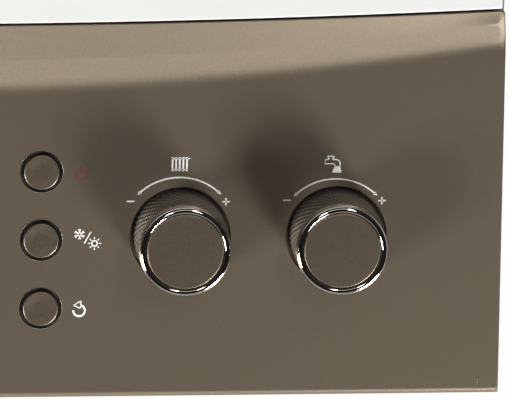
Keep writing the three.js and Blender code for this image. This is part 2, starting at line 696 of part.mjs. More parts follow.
// Control box: a tray behind the fascia whose rim sits inside it and whose trunnions turn in the
// two side brackets.
const trayBackY = sideFrontY + controlBox.depth;
const trunnionY = trayBackY - controlBox.trunnionBack;
const trayBottomZ = bottomZ + controlBox.bottomInset;
const trunnionZ = trayBottomZ + controlBox.trunnionUp;
const bracketOuterX = halfWidth - sheet - fit;
function controlTray() {
  const rimHalf = halfWidth - fascia.wall - fit;
  const trayHalf = rimHalf - controlBox.traySideInset;
  const topZ = bottomZ + fascia.topHeight - controlBox.topInset;
  const t = controlBox.wall;
  const rimFront = fasciaRearY - controlBox.rimEngage;
  const rimBack = rimFront + controlBox.rimEngage + controlBox.rimDepth;
  const rim = block(-rimHalf, rimHalf, rimFront, rimBack, trayBottomZ, topZ);
  const tray = block(-trayHalf, trayHalf, rimFront, trayBackY, trayBottomZ, topZ);
  const hollow = block(-trayHalf + t, trayHalf - t, rimFront - overrun, trayBackY - t,
    trayBottomZ + t, topZ - t);
  const frame = cut(rim, block(-rimHalf + t, rimHalf - t, rimFront - overrun, rimBack - t,
    trayBottomZ + t, topZ - t));
  const pins = [-1, 1].map((side) => rod('x', trunnionY, trunnionZ, controlBox.trunnionRadius,
    side * (trayHalf - press), side * (bracketOuterX - fit), sides.medium));
  return join(cut(join(frame, tray), hollow), ...pins);
}

function hingeBracket(side) {
  const [inner, outer] = [side * (bracketOuterX - hinge.thickness), side * bracketOuterX];
  const frontY = trunnionY - hinge.ahead;
  const plate = block(inner, outer, frontY, frontY + hinge.length, bottomZ + fascia.bottomRise,
    bottomZ + fascia.bottomRise + hinge.height);
  return cut(plate, rod('x', trunnionY, trunnionZ, controlBox.trunnionRadius + fit,
    inner - side * overrun,
    outer + side * overrun, sides.medium));
}

piece('control_box', controlTray(), blackPlastic);
piece('left_hinge_bracket', hingeBracket(-1), zinc);
piece('right_hinge_bracket', hingeBracket(1), zinc);

// Sealed chamber: an open-fronted steel box with a lid, a hole for the flue and three for pipes.
const chamberHalf = chassisHalf - sheet - fit;
const chamberBackY = chamber.behindFlue - flue.depth;
const chamberFrontY = -flue.depth - chamber.aheadOfFlue;
const chamberRearInside = chamberBackY - sheet;
const chamberFloor = chamberBottom + sheet;
const portX = fireboxWidth / 2 + exchanger.elbow / 2;
const fireboxMidY = -(fireboxBack + fireboxFront) / 2;
function sealedChamber() {
  const outside = block(-chamberHalf, chamberHalf, chamberFrontY, chamberBackY, chamberBottom,
    chamberTop);
  const inside = block(-chamberHalf + sheet, chamberHalf - sheet, chamberFrontY - overrun,
    chamberRearInside, chamberFloor, chamberTop - sheet);
  const flueHole = rod('z', 0, -flue.depth, chamber.airHole, chamberTop - overrun,
    chamberTop + overrun, sides.large);
  const pass = (x, y) => rod('z', x, y, pipe.radius + fit, chamberBottom - overrun,
    chamberFloor + overrun);
  return cut(outside, inside, flueHole, pass(-portX, fireboxMidY), pass(portX, fireboxMidY), pass(0,
    manifoldY));
}

const manifoldY = -burnerFront - fit - manifold.jetLength - manifold.depth / 2;
function chamberCover() {
  const reach = fit + sheet;
  const [low, high] = [chamberBottom - reach, chamberTop + reach];
  const half = chamberHalf + reach;
  const outside = block(-half, half, chamberFrontY - reach, chamberFrontY + chamber.lidLip, low, high);
  const inside = block(-half + sheet, half - sheet, chamberFrontY - fit,
    chamberFrontY + chamber.lidLip + overrun,
    low + sheet, high - sheet);
  return cut(outside, inside);
}

// Burner: a tray of upright blades, fed by jets on a bar across its front.
const bladePitch = burnerWidth / burner.blades;
function burnerRack() {
  const [x0, x1] = [-burnerWidth / 2, burnerWidth / 2];
  const [back, front] = [-burnerBack, -burnerFront];
  const top = burnerBottom + burner.height;
  const body = block(x0, x1, front, back, burnerBottom, top);
  const gap = bladePitch * burner.bladeGapShare;
  const slots = Array.from({ length: burner.blades - 1 }, (unused, i) => {
    const x = x0 + bladePitch * (i + 1);
    return block(x - gap / 2, x + gap / 2, front - overrun, back + overrun,
      burnerBottom + burner.trayHeight, top + overrun);
  });
  const rests = [-1, 1].map((side) => block(side * (x1 - bladePitch), side * x1, front, back,
    chamberFloor + fit, burnerBottom + press));
  return join(cut(body, ...slots), ...rests);
}

const jetZ = burnerBottom + burner.trayHeight / 2;
function gasManifold() {
  const bodyBack = manifoldY + manifold.depth / 2;
  const half = burnerWidth / 2;
  const body = block(-half, half, manifoldY - manifold.depth / 2, bodyBack, jetZ - manifold.height / 2,
    jetZ + manifold.height / 2);
  const jets = Array.from({ length: burner.blades }, (unused, i) => rod('y',
    -half + bladePitch * (i + 0.5), jetZ, manifold.jetRadius, bodyBack - press,
      bodyBack + manifold.jetLength,
    sides.nut));
  return join(body, ...jets);
}

// Insulated firebox, open above and below, held to the chamber's rear wall by two lugs.
const electrodeZ = fireboxBottom + electrode.above;
function fireboxBody() {
  const half = fireboxWidth / 2;
  const [back, front] = [-fireboxBack, -fireboxFront];
  const top = fireboxBottom + fireboxHeight;
  const t = firebox.wall;
  const walls = cut(block(-half, half, front, back, fireboxBottom, top),
    block(-half + t, half - t, front + t, back - t, fireboxBottom - overrun, top + overrun));
  const lugs = [-1, 1].map((side) => block(side * (half - firebox.lug), side * half, back - press,
    chamberRearInside - fit, top - firebox.lug, top));
  const port = rod('y', half * electrode.placeShare, electrodeZ, electrode.radius + fit,
    front - overrun, front + t + overrun,
    sides.small);
  return cut(join(walls, ...lugs), port);
}

// Finned heat exchanger with a port block at each end for its pipes.
function heatExchanger() {
  const half = fireboxWidth / 2;
  const [back, front] = [-fireboxBack, -fireboxFront];
  const top = exchangerBottom + exchangerHeight;
  const pitch = fireboxWidth / exchanger.fins;
  const spine = exchangerHeight * exchanger.spineShare;
  const middle = (exchangerBottom + top) / 2;
  const gap = pitch * (1 - exchanger.finShare);
  const slots = Array.from({ length: exchanger.fins - 1 }, (unused, i) => {
    const x = -half + pitch * (i + 1);
    return [
      block(x - gap / 2, x + gap / 2, front - overrun, back + overrun, middle + spine / 2,
        top + overrun),
      block(x - gap / 2, x + gap / 2, front - overrun, back + overrun, exchangerBottom - overrun,
        middle - spine / 2),
    ];
  }).flat();
  const ports = [-1, 1].map((side) => block(side * (half - press), side * (half + exchanger.elbow),
    fireboxMidY - exchanger.elbow / 2, fireboxMidY + exchanger.elbow / 2, middle - spine / 2,
      middle + spine / 2));
  return join(cut(block(-half, half, front, back, exchangerBottom, top), ...slots), ...ports);
}

// Flue hood: a square funnel that narrows to the fan's inlet duct.
const ductBackY = -flue.depth + fan.drumWidth / 2 + fan.ductDepth;
function frustum(bottomRing, topRing) {
  return loft([bottomRing, topRing]);
}
const rectangle = (x, y0, y1, z) => [[-x, y0, z], [x, y0, z], [x, y1, z], [-x, y1, z]];
const shifted = (ring, dx) => ring.map(([x, y, z]) => [x + dx, y, z]);
function flueHood() {
  const half = fireboxWidth / 2;
  const [back, front] = [-fireboxBack, -fireboxFront];
  const top = hoodBottom + hoodHeight;
  const t = hood.thickness;
  const mouth = hood.outlet;
  const [mouthBack, mouthFront] = [ductBackY, ductBackY - fan.ductDepth];
  const outer = frustum(rectangle(half, front, back, hoodBottom),
    shifted(rectangle(mouth, mouthFront, mouthBack, top), fan.drumX));
  const inner = frustum(rectangle(half - t, front + t, back - t, hoodBottom - overrun),
    shifted(rectangle(mouth - t, mouthFront + t, mouthBack - t, top + overrun), fan.drumX));
  return cut(outer, inner);
}

// Fan: a drum with an inlet duct behind it and a spout up to the flue.
const drumZ = fanBottom + fan.drumRadius;
const drumBackY = -flue.depth + fan.drumWidth / 2;
const drumFrontY = -flue.depth - fan.drumWidth / 2;
const spoutTop = chamberTop - collar.socketDepth;
function fanHousing() {
  const w = fan.wall;
  const drum = rod('y', fan.drumX, drumZ, fan.drumRadius, drumFrontY, drumBackY, sides.large);
  const ductX = [fan.drumX - fan.ductWidth / 2, fan.drumX + fan.ductWidth / 2];
  const duct = block(...ductX, drumBackY - press, ductBackY, fanBottom,
    fanBottom + fan.ductTop + fan.drumRadius / 2);
  const spout = rod('z', 0, -flue.depth, fan.spoutRadius - 2 * fit, drumZ, spoutTop, sides.medium);
  const drumInside = rod('y', fan.drumX, drumZ, fan.drumRadius - w, drumFrontY + w, drumBackY - w,
    sides.large);
  const ductInside = block(ductX[0] + w, ductX[1] - w, drumBackY + w, ductBackY - w,
    fanBottom - overrun,
    fanBottom + fan.ductTop + fan.drumRadius / 2 - w);
  const inlet = rod('y', fan.drumX, drumZ, fan.inlet, drumBackY - w - overrun,
    drumBackY + w + overrun, sides.medium);
  const spoutInside = rod('z', 0, -flue.depth, fan.spoutRadius - 2 * fit - w, drumZ,
    spoutTop + overrun,
    sides.medium);
  const shaftHole = rod('y', fan.drumX, drumZ, fan.shaftRadius + fit, drumFrontY - overrun,
    drumFrontY + w + overrun, sides.small);
  return cut(join(drum, duct, spout), drumInside, ductInside, inlet, spoutInside, shaftHole);
}

function fanImpeller() {
  const disc = fan.wall;
  const clear = fan.drumWidth - 2 * fan.wall - fan.impellerWidth;
  const front = drumFrontY + fan.wall + clear / 2;
  const back = front + fan.impellerWidth;
  const plate = rod('y', fan.drumX, drumZ, fan.impellerRadius, front, front + disc, sides.large);
  const rim = cut(rod('y', fan.drumX, drumZ, fan.impellerRadius, back - disc, back, sides.large),
    rod('y', fan.drumX, drumZ, fan.impellerRadius - fan.bladeLength, back - disc - overrun,
      back + overrun,
      sides.large));
  const hub = rod('y', fan.drumX, drumZ, fan.hubRadius, front, front + fan.impellerWidth / 2,
    sides.medium);
  const shaft = rod('y', fan.drumX, drumZ, fan.shaftRadius, drumFrontY - fan.shaftEngage,
    front + disc, sides.small);
  const middle = fan.impellerRadius - fan.bladeLength / 2 - press;
  const blades = Array.from({ length: fan.blades }, (unused, i) => {
    const turn = (2 * Math.PI * i) / fan.blades;
    const length = fan.bladeLength - press;
    const blade = new THREE.BoxGeometry(length, fan.impellerWidth, fan.bladeThickness);
    blade.translate(middle, 0, 0).rotateY(turn);
    return solid(blade.translate(fan.drumX, (front + back) / 2, drumZ));
  });
  return join(plate, rim, hub, shaft, ...blades);
}

function fanMotor() {
  const back = drumFrontY - fit;
  const front = back - fan.motorLength;
  const edge = fan.motorEdge;
  const body = turned([
    [0, back], [fan.motorRadius, back], [fan.motorRadius, front + edge], [fan.motorRadius - edge,
      front], [0, front],
  ], fan.drumX, drumZ, sides.medium);
  return cut(body, rod('y', fan.drumX, drumZ, fan.shaftRadius + fit, back - fan.shaftEngage - fit,
    back + overrun, sides.small));
}

// Flue collar: the air ring and the exhaust tube inside it, joined by three ribs.
function flueCollar() {
  const z0 = chamberTop + fit;
  const y = -flue.depth;
  const outer = turnedUpright([
    [collar.outerRadius - collar.outerWall, z0], [collar.footRadius, z0], [collar.footRadius,
      z0 + collar.foot],
    [collar.outerRadius, z0 + collar.foot], [collar.outerRadius, collar.top - collar.rim],
    [collar.rimRadius, collar.top - collar.rim], [collar.rimRadius, collar.top],
    [collar.outerRadius - collar.outerWall, collar.top], [collar.outerRadius - collar.outerWall, z0],
  ], 0, y);
  const tubeBottom = spoutTop - overrun;
  const inner = turnedUpright([
    [collar.innerRadius, tubeBottom], [collar.innerRadius + collar.innerWall, tubeBottom],
    [collar.innerRadius + collar.innerWall, collar.top], [collar.innerRadius, collar.top],
    [collar.innerRadius, tubeBottom],
  ], 0, y);
  const ribs = [0, 1, 2].map((n) => {
    const from = collar.innerRadius + press;
    const to = collar.outerRadius - press;
    const rib = new THREE.BoxGeometry(to - from, collar.rib, collar.ribHeight);
    rib.translate((from + to) / 2, 0, collar.top - collar.ribHeight).rotateZ((2 * Math.PI * n) / 3);
    return solid(rib.translate(0, y, 0));
  });
  return join(outer, inner, ...ribs);
}

function ignitionElectrode() {
  const x = (fireboxWidth / 2) * electrode.placeShare;
  const faceAt = -fireboxFront - fit;
  const half = electrode.plate / 2;
  const rodBack = -fireboxFront + firebox.wall + electrode.radius;
  return join(
    rod('y', x, electrodeZ, electrode.radius, rodBack - electrode.length, rodBack, sides.small),
    block(x - half, x + half, faceAt - sheet, faceAt, electrodeZ - half, electrodeZ + half),
    rod('y', x, electrodeZ, electrode.tipRadius, rodBack - press, rodBack + electrode.tipLength,
      sides.nut),
  );
}

piece('sealed_chamber', sealedChamber(), zinc);
piece('chamber_cover', chamberCover(), zinc);
piece('burner', burnerRack(), steel);
piece('gas_manifold', gasManifold(), zinc);
piece('combustion_chamber', fireboxBody(), steel);
piece('heat_exchanger', heatExchanger(), copper);
piece('flue_hood', flueHood(), zinc);
piece('fan_housing', fanHousing(), zinc);
piece('fan_impeller', fanImpeller(), steel);
piece('fan_motor', fanMotor(), blackPlastic);
piece('flue_collar', flueCollar(), zinc);
piece('ignition_electrode', ignitionElectrode(), ceramic);

// Flat round expansion vessel between the chassis and the chamber.
function expansionVessel() {
  const back = chassisFrontY - fit;
  const front = chamberBackY + vessel.clear;
  const middle = (back + front) / 2;
  const dome = (back - front) * vessel.domeShare;
  const vesselRim = vesselRadius + vessel.rimOut;
  const body = turned([
    [0, back], [vesselRadius - dome, back], [vesselRadius, back - dome],
    [vesselRadius, middle + vessel.rim / 2], [vesselRim, middle + vessel.rim / 2],
    [vesselRim, middle - vessel.rim / 2], [vesselRadius, middle - vessel.rim / 2],
    [vesselRadius, front + dome], [vesselRadius - dome, front], [0, front],
  ], 0, vesselZ, sides.large);
  const nipple = rod('z', 0, middle, vessel.nipple, vesselZ - vesselRim - vessel.nippleLength,
    vesselZ - vesselRadius + vessel.nippleRoot, sides.small);
  return join(body, nipple);
}

const tailY = -tails.depth;
const tailEnd = bottomZ - tails.below;
// A tail is a bored stub with a shoulder that rests on the rail.
function tailStub(x, top) {
  const shoulderZ = railZ + rail.thickness + fit;
  return join(
    rod('z', x, tailY, tails.radius, tailEnd, top, sides.medium),
    rod('z', x, tailY, tails.collarRadius, shoulderZ, shoulderZ + tails.collarHeight, sides.nut),
  );
}
const tailBore = (x, top) => rod('z', x, tailY, tails.bore, tailEnd - overrun, top, sides.medium);

const gasY = -(gasValve.backDepth + gasValve.frontDepth) / 2;
function gasValveBody() {
  const half = gasValve.width / 2;
  const body = block(-half, half, -gasValve.frontDepth, -gasValve.backDepth, gasValveBottom,
    gasValveTop);
  const coils = [-1, 1].map((side) => rod('y', (side * half) / 2, (gasValveBottom + gasValveTop) / 2,
    gasValve.coil, -gasValve.frontDepth - 2 * gasValve.coil, -gasValve.frontDepth + press,
      sides.medium));
  return join(body, ...coils);
}

// The gas pipe leaves its tail below the plate heat exchanger and rises in front of it.
function gasInletPipe() {
  const kneeZ = (railZ + tails.collarHeight + platesBottom) / 2;
  const riser = bar([[0, tailY, tailEnd], [0, tailY, kneeZ], [0, gasY, kneeZ],
    [0, gasY, gasValveBottom - fit]], tails.radius, pipe.bend);
  const bore = bar([[0, tailY, tailEnd - overrun], [0, tailY, kneeZ], [0, gasY, kneeZ],
    [0, gasY, gasValveBottom + overrun]], tails.bore, pipe.bend);
  const shoulderZ = railZ + rail.thickness + fit;
  const shoulder = rod('z', 0, tailY, tails.collarRadius, shoulderZ,
    shoulderZ + tails.collarHeight, sides.nut);
  return cut(join(riser, shoulder), bore);
}

function gasBurnerPipe() {
  const start = gasValveTop + fit;
  const end = jetZ - manifold.height / 2 - fit;
  const kneeZ = (start + chamberBottom) / 2;
  return tube([[0, gasY, start], [0, gasY, kneeZ], [0, manifoldY, kneeZ], [0, manifoldY, end]],
    pipe.radius, pipe.bore, pipe.bend);
}

const portZ = exchangerBottom + exchangerHeight * (1 - exchanger.spineShare) / 2;
function diverterValve() {
  const x = tailX[0];
  const body = block(x - diverter.halfWidth, x + diverter.halfWidth, tailY - diverter.halfDepth,
    tailY + diverter.halfDepth, diverterBottom, diverterTop);
  const flange = rod('y', x, (diverterBottom + diverterTop) / 2,
    diverter.halfWidth * diverter.flangeShare,
    tailY - diverter.halfDepth - diverter.flangeReach, tailY, sides.medium);
  const stub = tailStub(x, diverterBottom + press);
  return cut(join(body, flange, stub), tailBore(x, diverterBottom + diverter.halfWidth));
}

function diverterMotor() {
  const x = tailX[0];
  const half = diverter.motorSize / 2;
  const bottom = (diverterBottom + diverterTop) / 2 - half;
  const back = tailY - diverter.halfDepth - diverter.flangeReach - fit;
  return block(x - half, x + half, back - diverter.motorHeight, back, bottom,
    bottom + diverter.motorSize);
}

function flowPipe() {
  const x = tailX[0];
  const start = diverterTop + fit;
  const kneeZ = (start + chamberBottom) / 2;
  return tube([[x, tailY, start], [x, tailY, kneeZ], [-portX, fireboxMidY, kneeZ],
    [-portX, fireboxMidY, portZ - fit]], pipe.radius, pipe.bore, pipe.bend);
}

// Pump volute on its return block, with the wet motor in front.
const voluteFrontY = -pump.centreDepth - pump.voluteWidth / 2;
const voluteTop = pumpZ + pump.voluteRadius;
function pumpBody() {
  const x = tailX[4];
  const volute = rod('y', x, pumpZ, pump.voluteRadius, voluteFrontY,
    voluteFrontY + pump.voluteWidth, sides.large);
  const returnBlock = block(x - pump.blockHalfWidth, x + pump.blockHalfWidth,
    tailY - pump.blockHalfDepth,
    tailY + pump.blockHalfDepth, blockBottom, blockTop + pump.portRadius);
  const outlet = rod('z', x, tailY, pump.portRadius, pumpZ, voluteTop + pump.portRadius, sides.medium);
  const joined = join(volute, returnBlock, outlet, tailStub(x, blockBottom + press));
  return cut(joined, tailBore(x, blockTop), rod('z', x, tailY, pipe.bore,
    voluteTop - pump.portRadius,
    voluteTop + pump.portRadius + overrun, sides.small));
}

function pumpMotor() {
  const x = tailX[4];
  const back = voluteFrontY - fit;
  const front = back - pump.motorLength;
  const edge = pump.motorEdge;
  const plug = pump.plugRadius;
  return turned([
    [0, back], [pump.motorRadius, back], [pump.motorRadius, front + edge],
      [pump.motorRadius - edge, front],
    [plug, front], [plug, front + pump.capRecess], [0, front + pump.capRecess],
  ], x, pumpZ, sides.medium);
}

function returnPipe() {
  const x = tailX[4];
  const start = voluteTop + pump.portRadius + fit;
  const kneeZ = (start + chamberBottom) / 2;
  return tube([[x, tailY, start], [x, tailY, kneeZ], [portX, fireboxMidY, kneeZ],
    [portX, fireboxMidY, portZ - fit]], pipe.radius, pipe.bore, pipe.bend);
}

// Plate heat exchanger: a brazed pack between the diverter and the return block.
function plateExchanger() {
  const x0 = tailX[0] + diverter.halfWidth + fit;
  const x1 = tailX[4] - pump.blockHalfWidth - fit;
  const top = platesBottom + plates.height;
  const pack = block(x0, x1, tailY - plates.halfDepth, tailY + plates.halfDepth, platesBottom, top);
  const pitch = plates.height / plates.count;
  const grooves = Array.from({ length: plates.count - 1 }, (unused, i) => {
    const z = platesBottom + pitch * (i + 1);
    return block(x0 - overrun, x1 + overrun, tailY - plates.halfDepth - overrun,
      tailY - plates.halfDepth + plates.groove, z - plates.grooveWidth / 2, z + plates.grooveWidth / 2);
  });
  return cut(pack, ...grooves);
}

function waterPipe(x) {
  const top = platesBottom - fit;
  return cut(tailStub(x, top), tailBore(x, top + overrun));
}

// Safety valve on the front of the return block, with its turning cap.
const safetyZ = blockBottom + safety.up;
const safetyBackY = tailY - pump.blockHalfDepth - fit;
const safetyFrontY = safetyBackY - safety.length;
function safetyCap() {
  const x = tailX[4];
  const back = safetyFrontY - fit;
  const front = back - safety.capLength;
  const lobes = Array.from({ length: sides.large }, (unused, i) => {
    const turn = (2 * Math.PI * i) / sides.large;
    const dip = (safety.lobeShare * (1 + Math.cos(safety.lobes * turn))) / 2;
    const radius = safety.capRadius * (1 - dip);
    return [x + radius * Math.cos(turn), safetyZ + radius * Math.sin(turn)];
  });
  return slab(lobes, front, back);
}

// Filling tap between the cold pipe and the return tail, with its knob under the rail.
const tapZ = railZ + tap.up;
function fillingTap() {
  const left = tailX[3] + tails.radius + fit;
  const right = tailX[4] - tails.radius - fit;
  return join(
    rod('x', tailY, tapZ, tap.tubeRadius, left, right, sides.small),
    rod('z', tapX, tailY, tap.radius, railZ, railZ + tap.height, sides.medium),
    rod('z', tapX, tailY, tap.stem, railZ - tap.knobHeight / 2, railZ + press, sides.small),
  );
}

function fillingKnob() {
  const top = railZ - press;
  const bottom = top - tap.knobHeight;
  const body = turnedUpright([
    [0, bottom], [tap.knobRadius * tap.endShare, bottom], [tap.knobRadius, bottom + tap.knobEdge],
    [tap.knobRadius, top], [0, top],
  ], tapX, tailY, sides.medium);
  const at = tap.knobRadius * tap.fluteAtShare;
  const flutes = Array.from({ length: tap.flutes }, (unused, i) => {
    const turn = (2 * Math.PI * i) / tap.flutes;
    return rod('z', tapX + at * Math.cos(turn), tailY + at * Math.sin(turn),
      tap.knobRadius * tap.fluteShare, bottom - overrun, top + overrun, sides.nut);
  });
  const socketZ = railZ - tap.knobHeight / 2 - press;
  const socket = rod('z', tapX, tailY, tap.stem + fit, socketZ, top + overrun, sides.small);
  return cut(body, socket, ...flutes);
}

piece('expansion_vessel', expansionVessel(), redPaint);
piece('gas_valve', gasValveBody(), zinc);
piece('gas_inlet_pipe', gasInletPipe(), copper);
piece('gas_burner_pipe', gasBurnerPipe(), copper);
piece('diverter_valve', diverterValve(), brass);
piece('diverter_motor', diverterMotor(), blackPlastic);
piece('flow_pipe', flowPipe(), copper);
piece('pump_body', pumpBody(), castIron);
piece('pump_motor', pumpMotor(), castIron);
piece('return_pipe', returnPipe(), copper);
piece('plate_heat_exchanger', plateExchanger(), steel);
piece('hot_water_pipe', waterPipe(tailX[1]), brass);
piece('cold_water_pipe', waterPipe(tailX[3]), brass);
piece('safety_valve', rod('y', tailX[4], safetyZ, safety.radius, safetyFrontY, safetyBackY,
  sides.medium), brass);
piece('safety_valve_cap', safetyCap(), redPaint);
piece('filling_tap', fillingTap(), brass);
piece('filling_knob', fillingKnob(), greyPlastic);

export default boiler;
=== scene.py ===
"""Looks of a wall-hung gas boiler: a taupe control panel with two knurled selectors and three push
buttons under a white casing, with the burner, fan, pump and pipes behind it.
Shapes are worked out in millimetres and meshes are in metres, +Z up. The wall is the plane y = 0,
and the front faces -Y."""
import json
import math
from types import SimpleNamespace

import bmesh
import bpy
import numpy as np
from mathutils import Matrix, Vector, geometry

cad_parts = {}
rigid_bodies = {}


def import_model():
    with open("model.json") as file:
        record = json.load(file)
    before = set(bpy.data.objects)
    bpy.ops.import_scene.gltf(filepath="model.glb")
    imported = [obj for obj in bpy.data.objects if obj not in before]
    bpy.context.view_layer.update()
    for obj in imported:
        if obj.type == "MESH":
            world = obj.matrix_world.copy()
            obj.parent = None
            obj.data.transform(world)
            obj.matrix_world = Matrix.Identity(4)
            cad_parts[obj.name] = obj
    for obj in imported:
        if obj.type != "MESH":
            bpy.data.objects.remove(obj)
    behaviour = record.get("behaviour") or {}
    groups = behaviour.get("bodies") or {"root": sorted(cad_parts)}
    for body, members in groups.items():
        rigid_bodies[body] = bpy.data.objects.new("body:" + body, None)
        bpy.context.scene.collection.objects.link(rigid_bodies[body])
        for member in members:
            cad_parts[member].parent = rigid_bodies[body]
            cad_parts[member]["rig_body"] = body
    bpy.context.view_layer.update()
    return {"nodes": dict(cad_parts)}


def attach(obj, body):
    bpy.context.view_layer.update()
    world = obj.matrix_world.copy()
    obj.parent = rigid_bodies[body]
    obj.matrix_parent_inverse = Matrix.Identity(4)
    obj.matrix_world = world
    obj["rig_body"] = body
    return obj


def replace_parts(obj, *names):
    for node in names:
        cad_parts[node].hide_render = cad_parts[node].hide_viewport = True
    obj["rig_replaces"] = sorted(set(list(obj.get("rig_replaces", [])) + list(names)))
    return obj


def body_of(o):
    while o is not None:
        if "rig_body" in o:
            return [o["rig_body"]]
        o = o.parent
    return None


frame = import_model()

MM = 0.001
FULL = 2 * math.pi
NEAR = 2e-6     # metres; points closer than this are one point
INK = 0.02      # a film of ink stands this far off its surface
PIPE_BEND = 22.0

# The front: the panel's lowest edge and half width, its flat face, and what stands on it.
LOWEST, HALF, FACE = -700.0, 220.0, -330.0
ROW = LOWEST + 63.2
HEATING, WATER = 97.46, 156.86
KNOB_FRONT = FACE - 24.0
BUTTON_X = 44.5
BUTTON_ROWS = LOWEST + 62.2 + 26.65 * np.array([1, 0, -1])
GAUGE_X, GAUGE_CARD = -140.0, -316.3
DISPLAY_X, DISPLAY_HALF = -22.0, (38.0, 20.0)
CUP, CUP_FLOOR = 19.0, -324.0

# Under the casing and inside it: the row of tails, the filling knob and the safety valve.
TAIL_Y, FILLING_X, VALVE = -105, 97.5, (130, 0, -618)

# Lines across the front, each with its height at the middle and its rise at the sides. The two
# bands over the flat face lean back by LEAN each. The first bend is soft, the crease is crisp.
LOW, FLAT, CREASE, TOP = (0.0, 0.3), (120.9, 17.4), (131.0, 14.0), (144.2, 4.9)
LEAN, SOFT, CRISP, PANEL_REAR = 2.5, 3.4, 0.6, -291.6

# Finishes

finishes = {}


def tone(text):
    """A colour written as sRGB hex, made linear: c / 12.92 below 0.04045, and
    ((c + 0.055) / 1.055) ^ 2.4 above."""
    parts = np.array([int(text[i:i + 2], 16) for i in (0, 2, 4)]) / 255
    linear = np.where(parts <= 0.04045, parts / 12.92, ((parts + 0.055) / 1.055) ** 2.4)
    return (*linear.tolist(), 1.0)


def add(tree, kind, links=None, **settings):
    """Adds one node. Settings are its own values, and links gives each input a number, a colour or
    an output."""
    node = tree.nodes.new("ShaderNode" + kind)
    for name, value in settings.items():
        setattr(node, name, value)
    for name, value in (links or {}).items():
        if isinstance(value, bpy.types.NodeSocket):
            tree.links.new(value, node.inputs[name])
        else:
            node.inputs[name].default_value = value
    return node


def finish(name, slot, colour, roughness, metallic=0.0, **sockets):
    """A material with one Principled shader, kept for a slot of the part where it has one. Its
    place is the object's own coordinates."""
    material = bpy.data.materials.new(name)
    material.use_nodes = True
    tree = material.node_tree
    shader = tree.nodes["Principled BSDF"]
    shader.inputs["Base Color"].default_value = tone(colour)
    shader.inputs["Roughness"].default_value = roughness
    shader.inputs["Metallic"].default_value = metallic
    for socket, value in sockets.items():
        shader.inputs[socket.replace("_", " ")].default_value = value
    place = add(tree, "TexCoord").outputs["Object"]
    look = SimpleNamespace(material=material, tree=tree, shader=shader, place=place)
    if slot:
        finishes[slot] = look
    return look


def gloss(look, pattern, least, most):
    """Roughness that follows a pattern from 0 to 1."""
    rough = add(look.tree, "MapRange", {"Value": pattern, "To Min": least, "To Max": most})
    look.tree.links.new(rough.outputs["Result"], look.shader.inputs["Roughness"])


def uneven(look, size, dark, light, spread, detail=3.0):
    """Colour that drifts between two tones over patches of one size in mm, and roughness that
    drifts by a spread with it."""
    patches = add(look.tree, "TexNoise", {"Vector": look.place, "Scale": 1 / (size * MM),
                                          "Detail": detail}).outputs["Fac"]
    colours = add(look.tree, "ValToRGB", {"Fac": patches})
    for end, share, text in zip(colours.color_ramp.elements, (0.35, 0.65), (dark, light)):
        end.position, end.color = share, tone(text)
    look.tree.links.new(colours.outputs["Color"], look.shader.inputs["Base Color"])
    middle = look.shader.inputs["Roughness"].default_value
    gloss(look, patches, middle - spread, middle + spread)


def bumps(look, height, depth, strength):
    """Fine relief from a height between 0 and 1 and its real depth in mm."""
    bump = add(look.tree, "Bump", {"Height": height, "Distance": depth * MM,
                                   "Strength": strength})
    look.tree.links.new(bump.outputs["Normal"], look.shader.inputs["Normal"])


def grain(look, size, detail=2.0):
    """Noise with grains of one real size in mm."""
    return add(look.tree, "TexNoise", {"Vector": look.place, "Scale": 1 / (size * MM),
                                       "Detail": detail}).outputs["Fac"]


# Polyester powder coat on steel: even and white, with the low ripple of a baked coat.
coat = finish("white_powder_coat", "white_enamel", "E4E4E1", 0.42,
              Coat_Weight=0.1, Coat_Roughness=0.2)
uneven(coat, 180, "E2E2DE", "E6E6E4", 0.02)
bumps(coat, grain(coat, 4), 0.04, 0.35)

# Moulded ABS sprayed with taupe metallic lacquer: fine flakes, and a satin top coat.
lacquer = finish("taupe_metallic_lacquer", "taupe_panel", "A1937F", 0.31, 0.85,
                 Coat_Weight=0.05, Coat_Roughness=0.25)
uneven(lacquer, 0.6, "9D8F7B", "A59783", 0.03, 1.0)
bumps(lacquer, grain(lacquer, 0.9, 1.0), 0.01, 0.3)

# The lacquer in a darker tone on the knurled skirts: satin, so that every ridge shades softly.
skirt = finish("dark_taupe_lacquer", "dark_taupe", "746D66", 0.36, 0.4,
               Coat_Weight=0.08, Coat_Roughness=0.2)
uneven(skirt, 6, "706962", "78716A", 0.03, 1.0)

# Painted shade: a darker copy of the panel's lacquer on the two discs and the three caps, which
# stands in for the shade that makes them look darker than the face.
shaded_disc_lacquer = finish("panel_lacquer_painted_shade", None, "726657", 0.38, 0.8,
                   Coat_Weight=0.05, Coat_Roughness=0.25)
uneven(shaded_disc_lacquer, 0.6, "6E6253", "766A5B", 0.03, 1.0)
bumps(shaded_disc_lacquer, grain(shaded_disc_lacquer, 0.9, 1.0), 0.01, 0.3)

# Chrome plate on ABS: a near mirror with the faint haze of fingers. Its warm tint is a painted
# reflection of warm brown surroundings.
chrome = finish("chrome_plate", "chrome", "CAC4BE", 0.05, 1.0)
uneven(chrome, 6, "C6C0BA", "CEC8C2", 0.015)

# Galvanised steel sheet: flat crystals about 8 mm across that shine by turns.
zinc = finish("galvanised_steel", "zinc_steel", "B4B8BA", 0.42, 0.9)
crystals = add(zinc.tree, "TexVoronoi", {"Vector": zinc.place, "Scale": 1 / (8 * MM)})
flash = add(zinc.tree, "SeparateColor", {"Color": crystals.outputs["Color"]})
shade = add(zinc.tree, "ValToRGB", {"Fac": flash.outputs["Red"]})
for end, text in zip(shade.color_ramp.elements, ("ADB1B3", "BCBFC0")):
    end.color = tone(text)
zinc.tree.links.new(shade.outputs["Color"], zinc.shader.inputs["Base Color"])
gloss(zinc, flash.outputs["Green"], 0.38, 0.46)

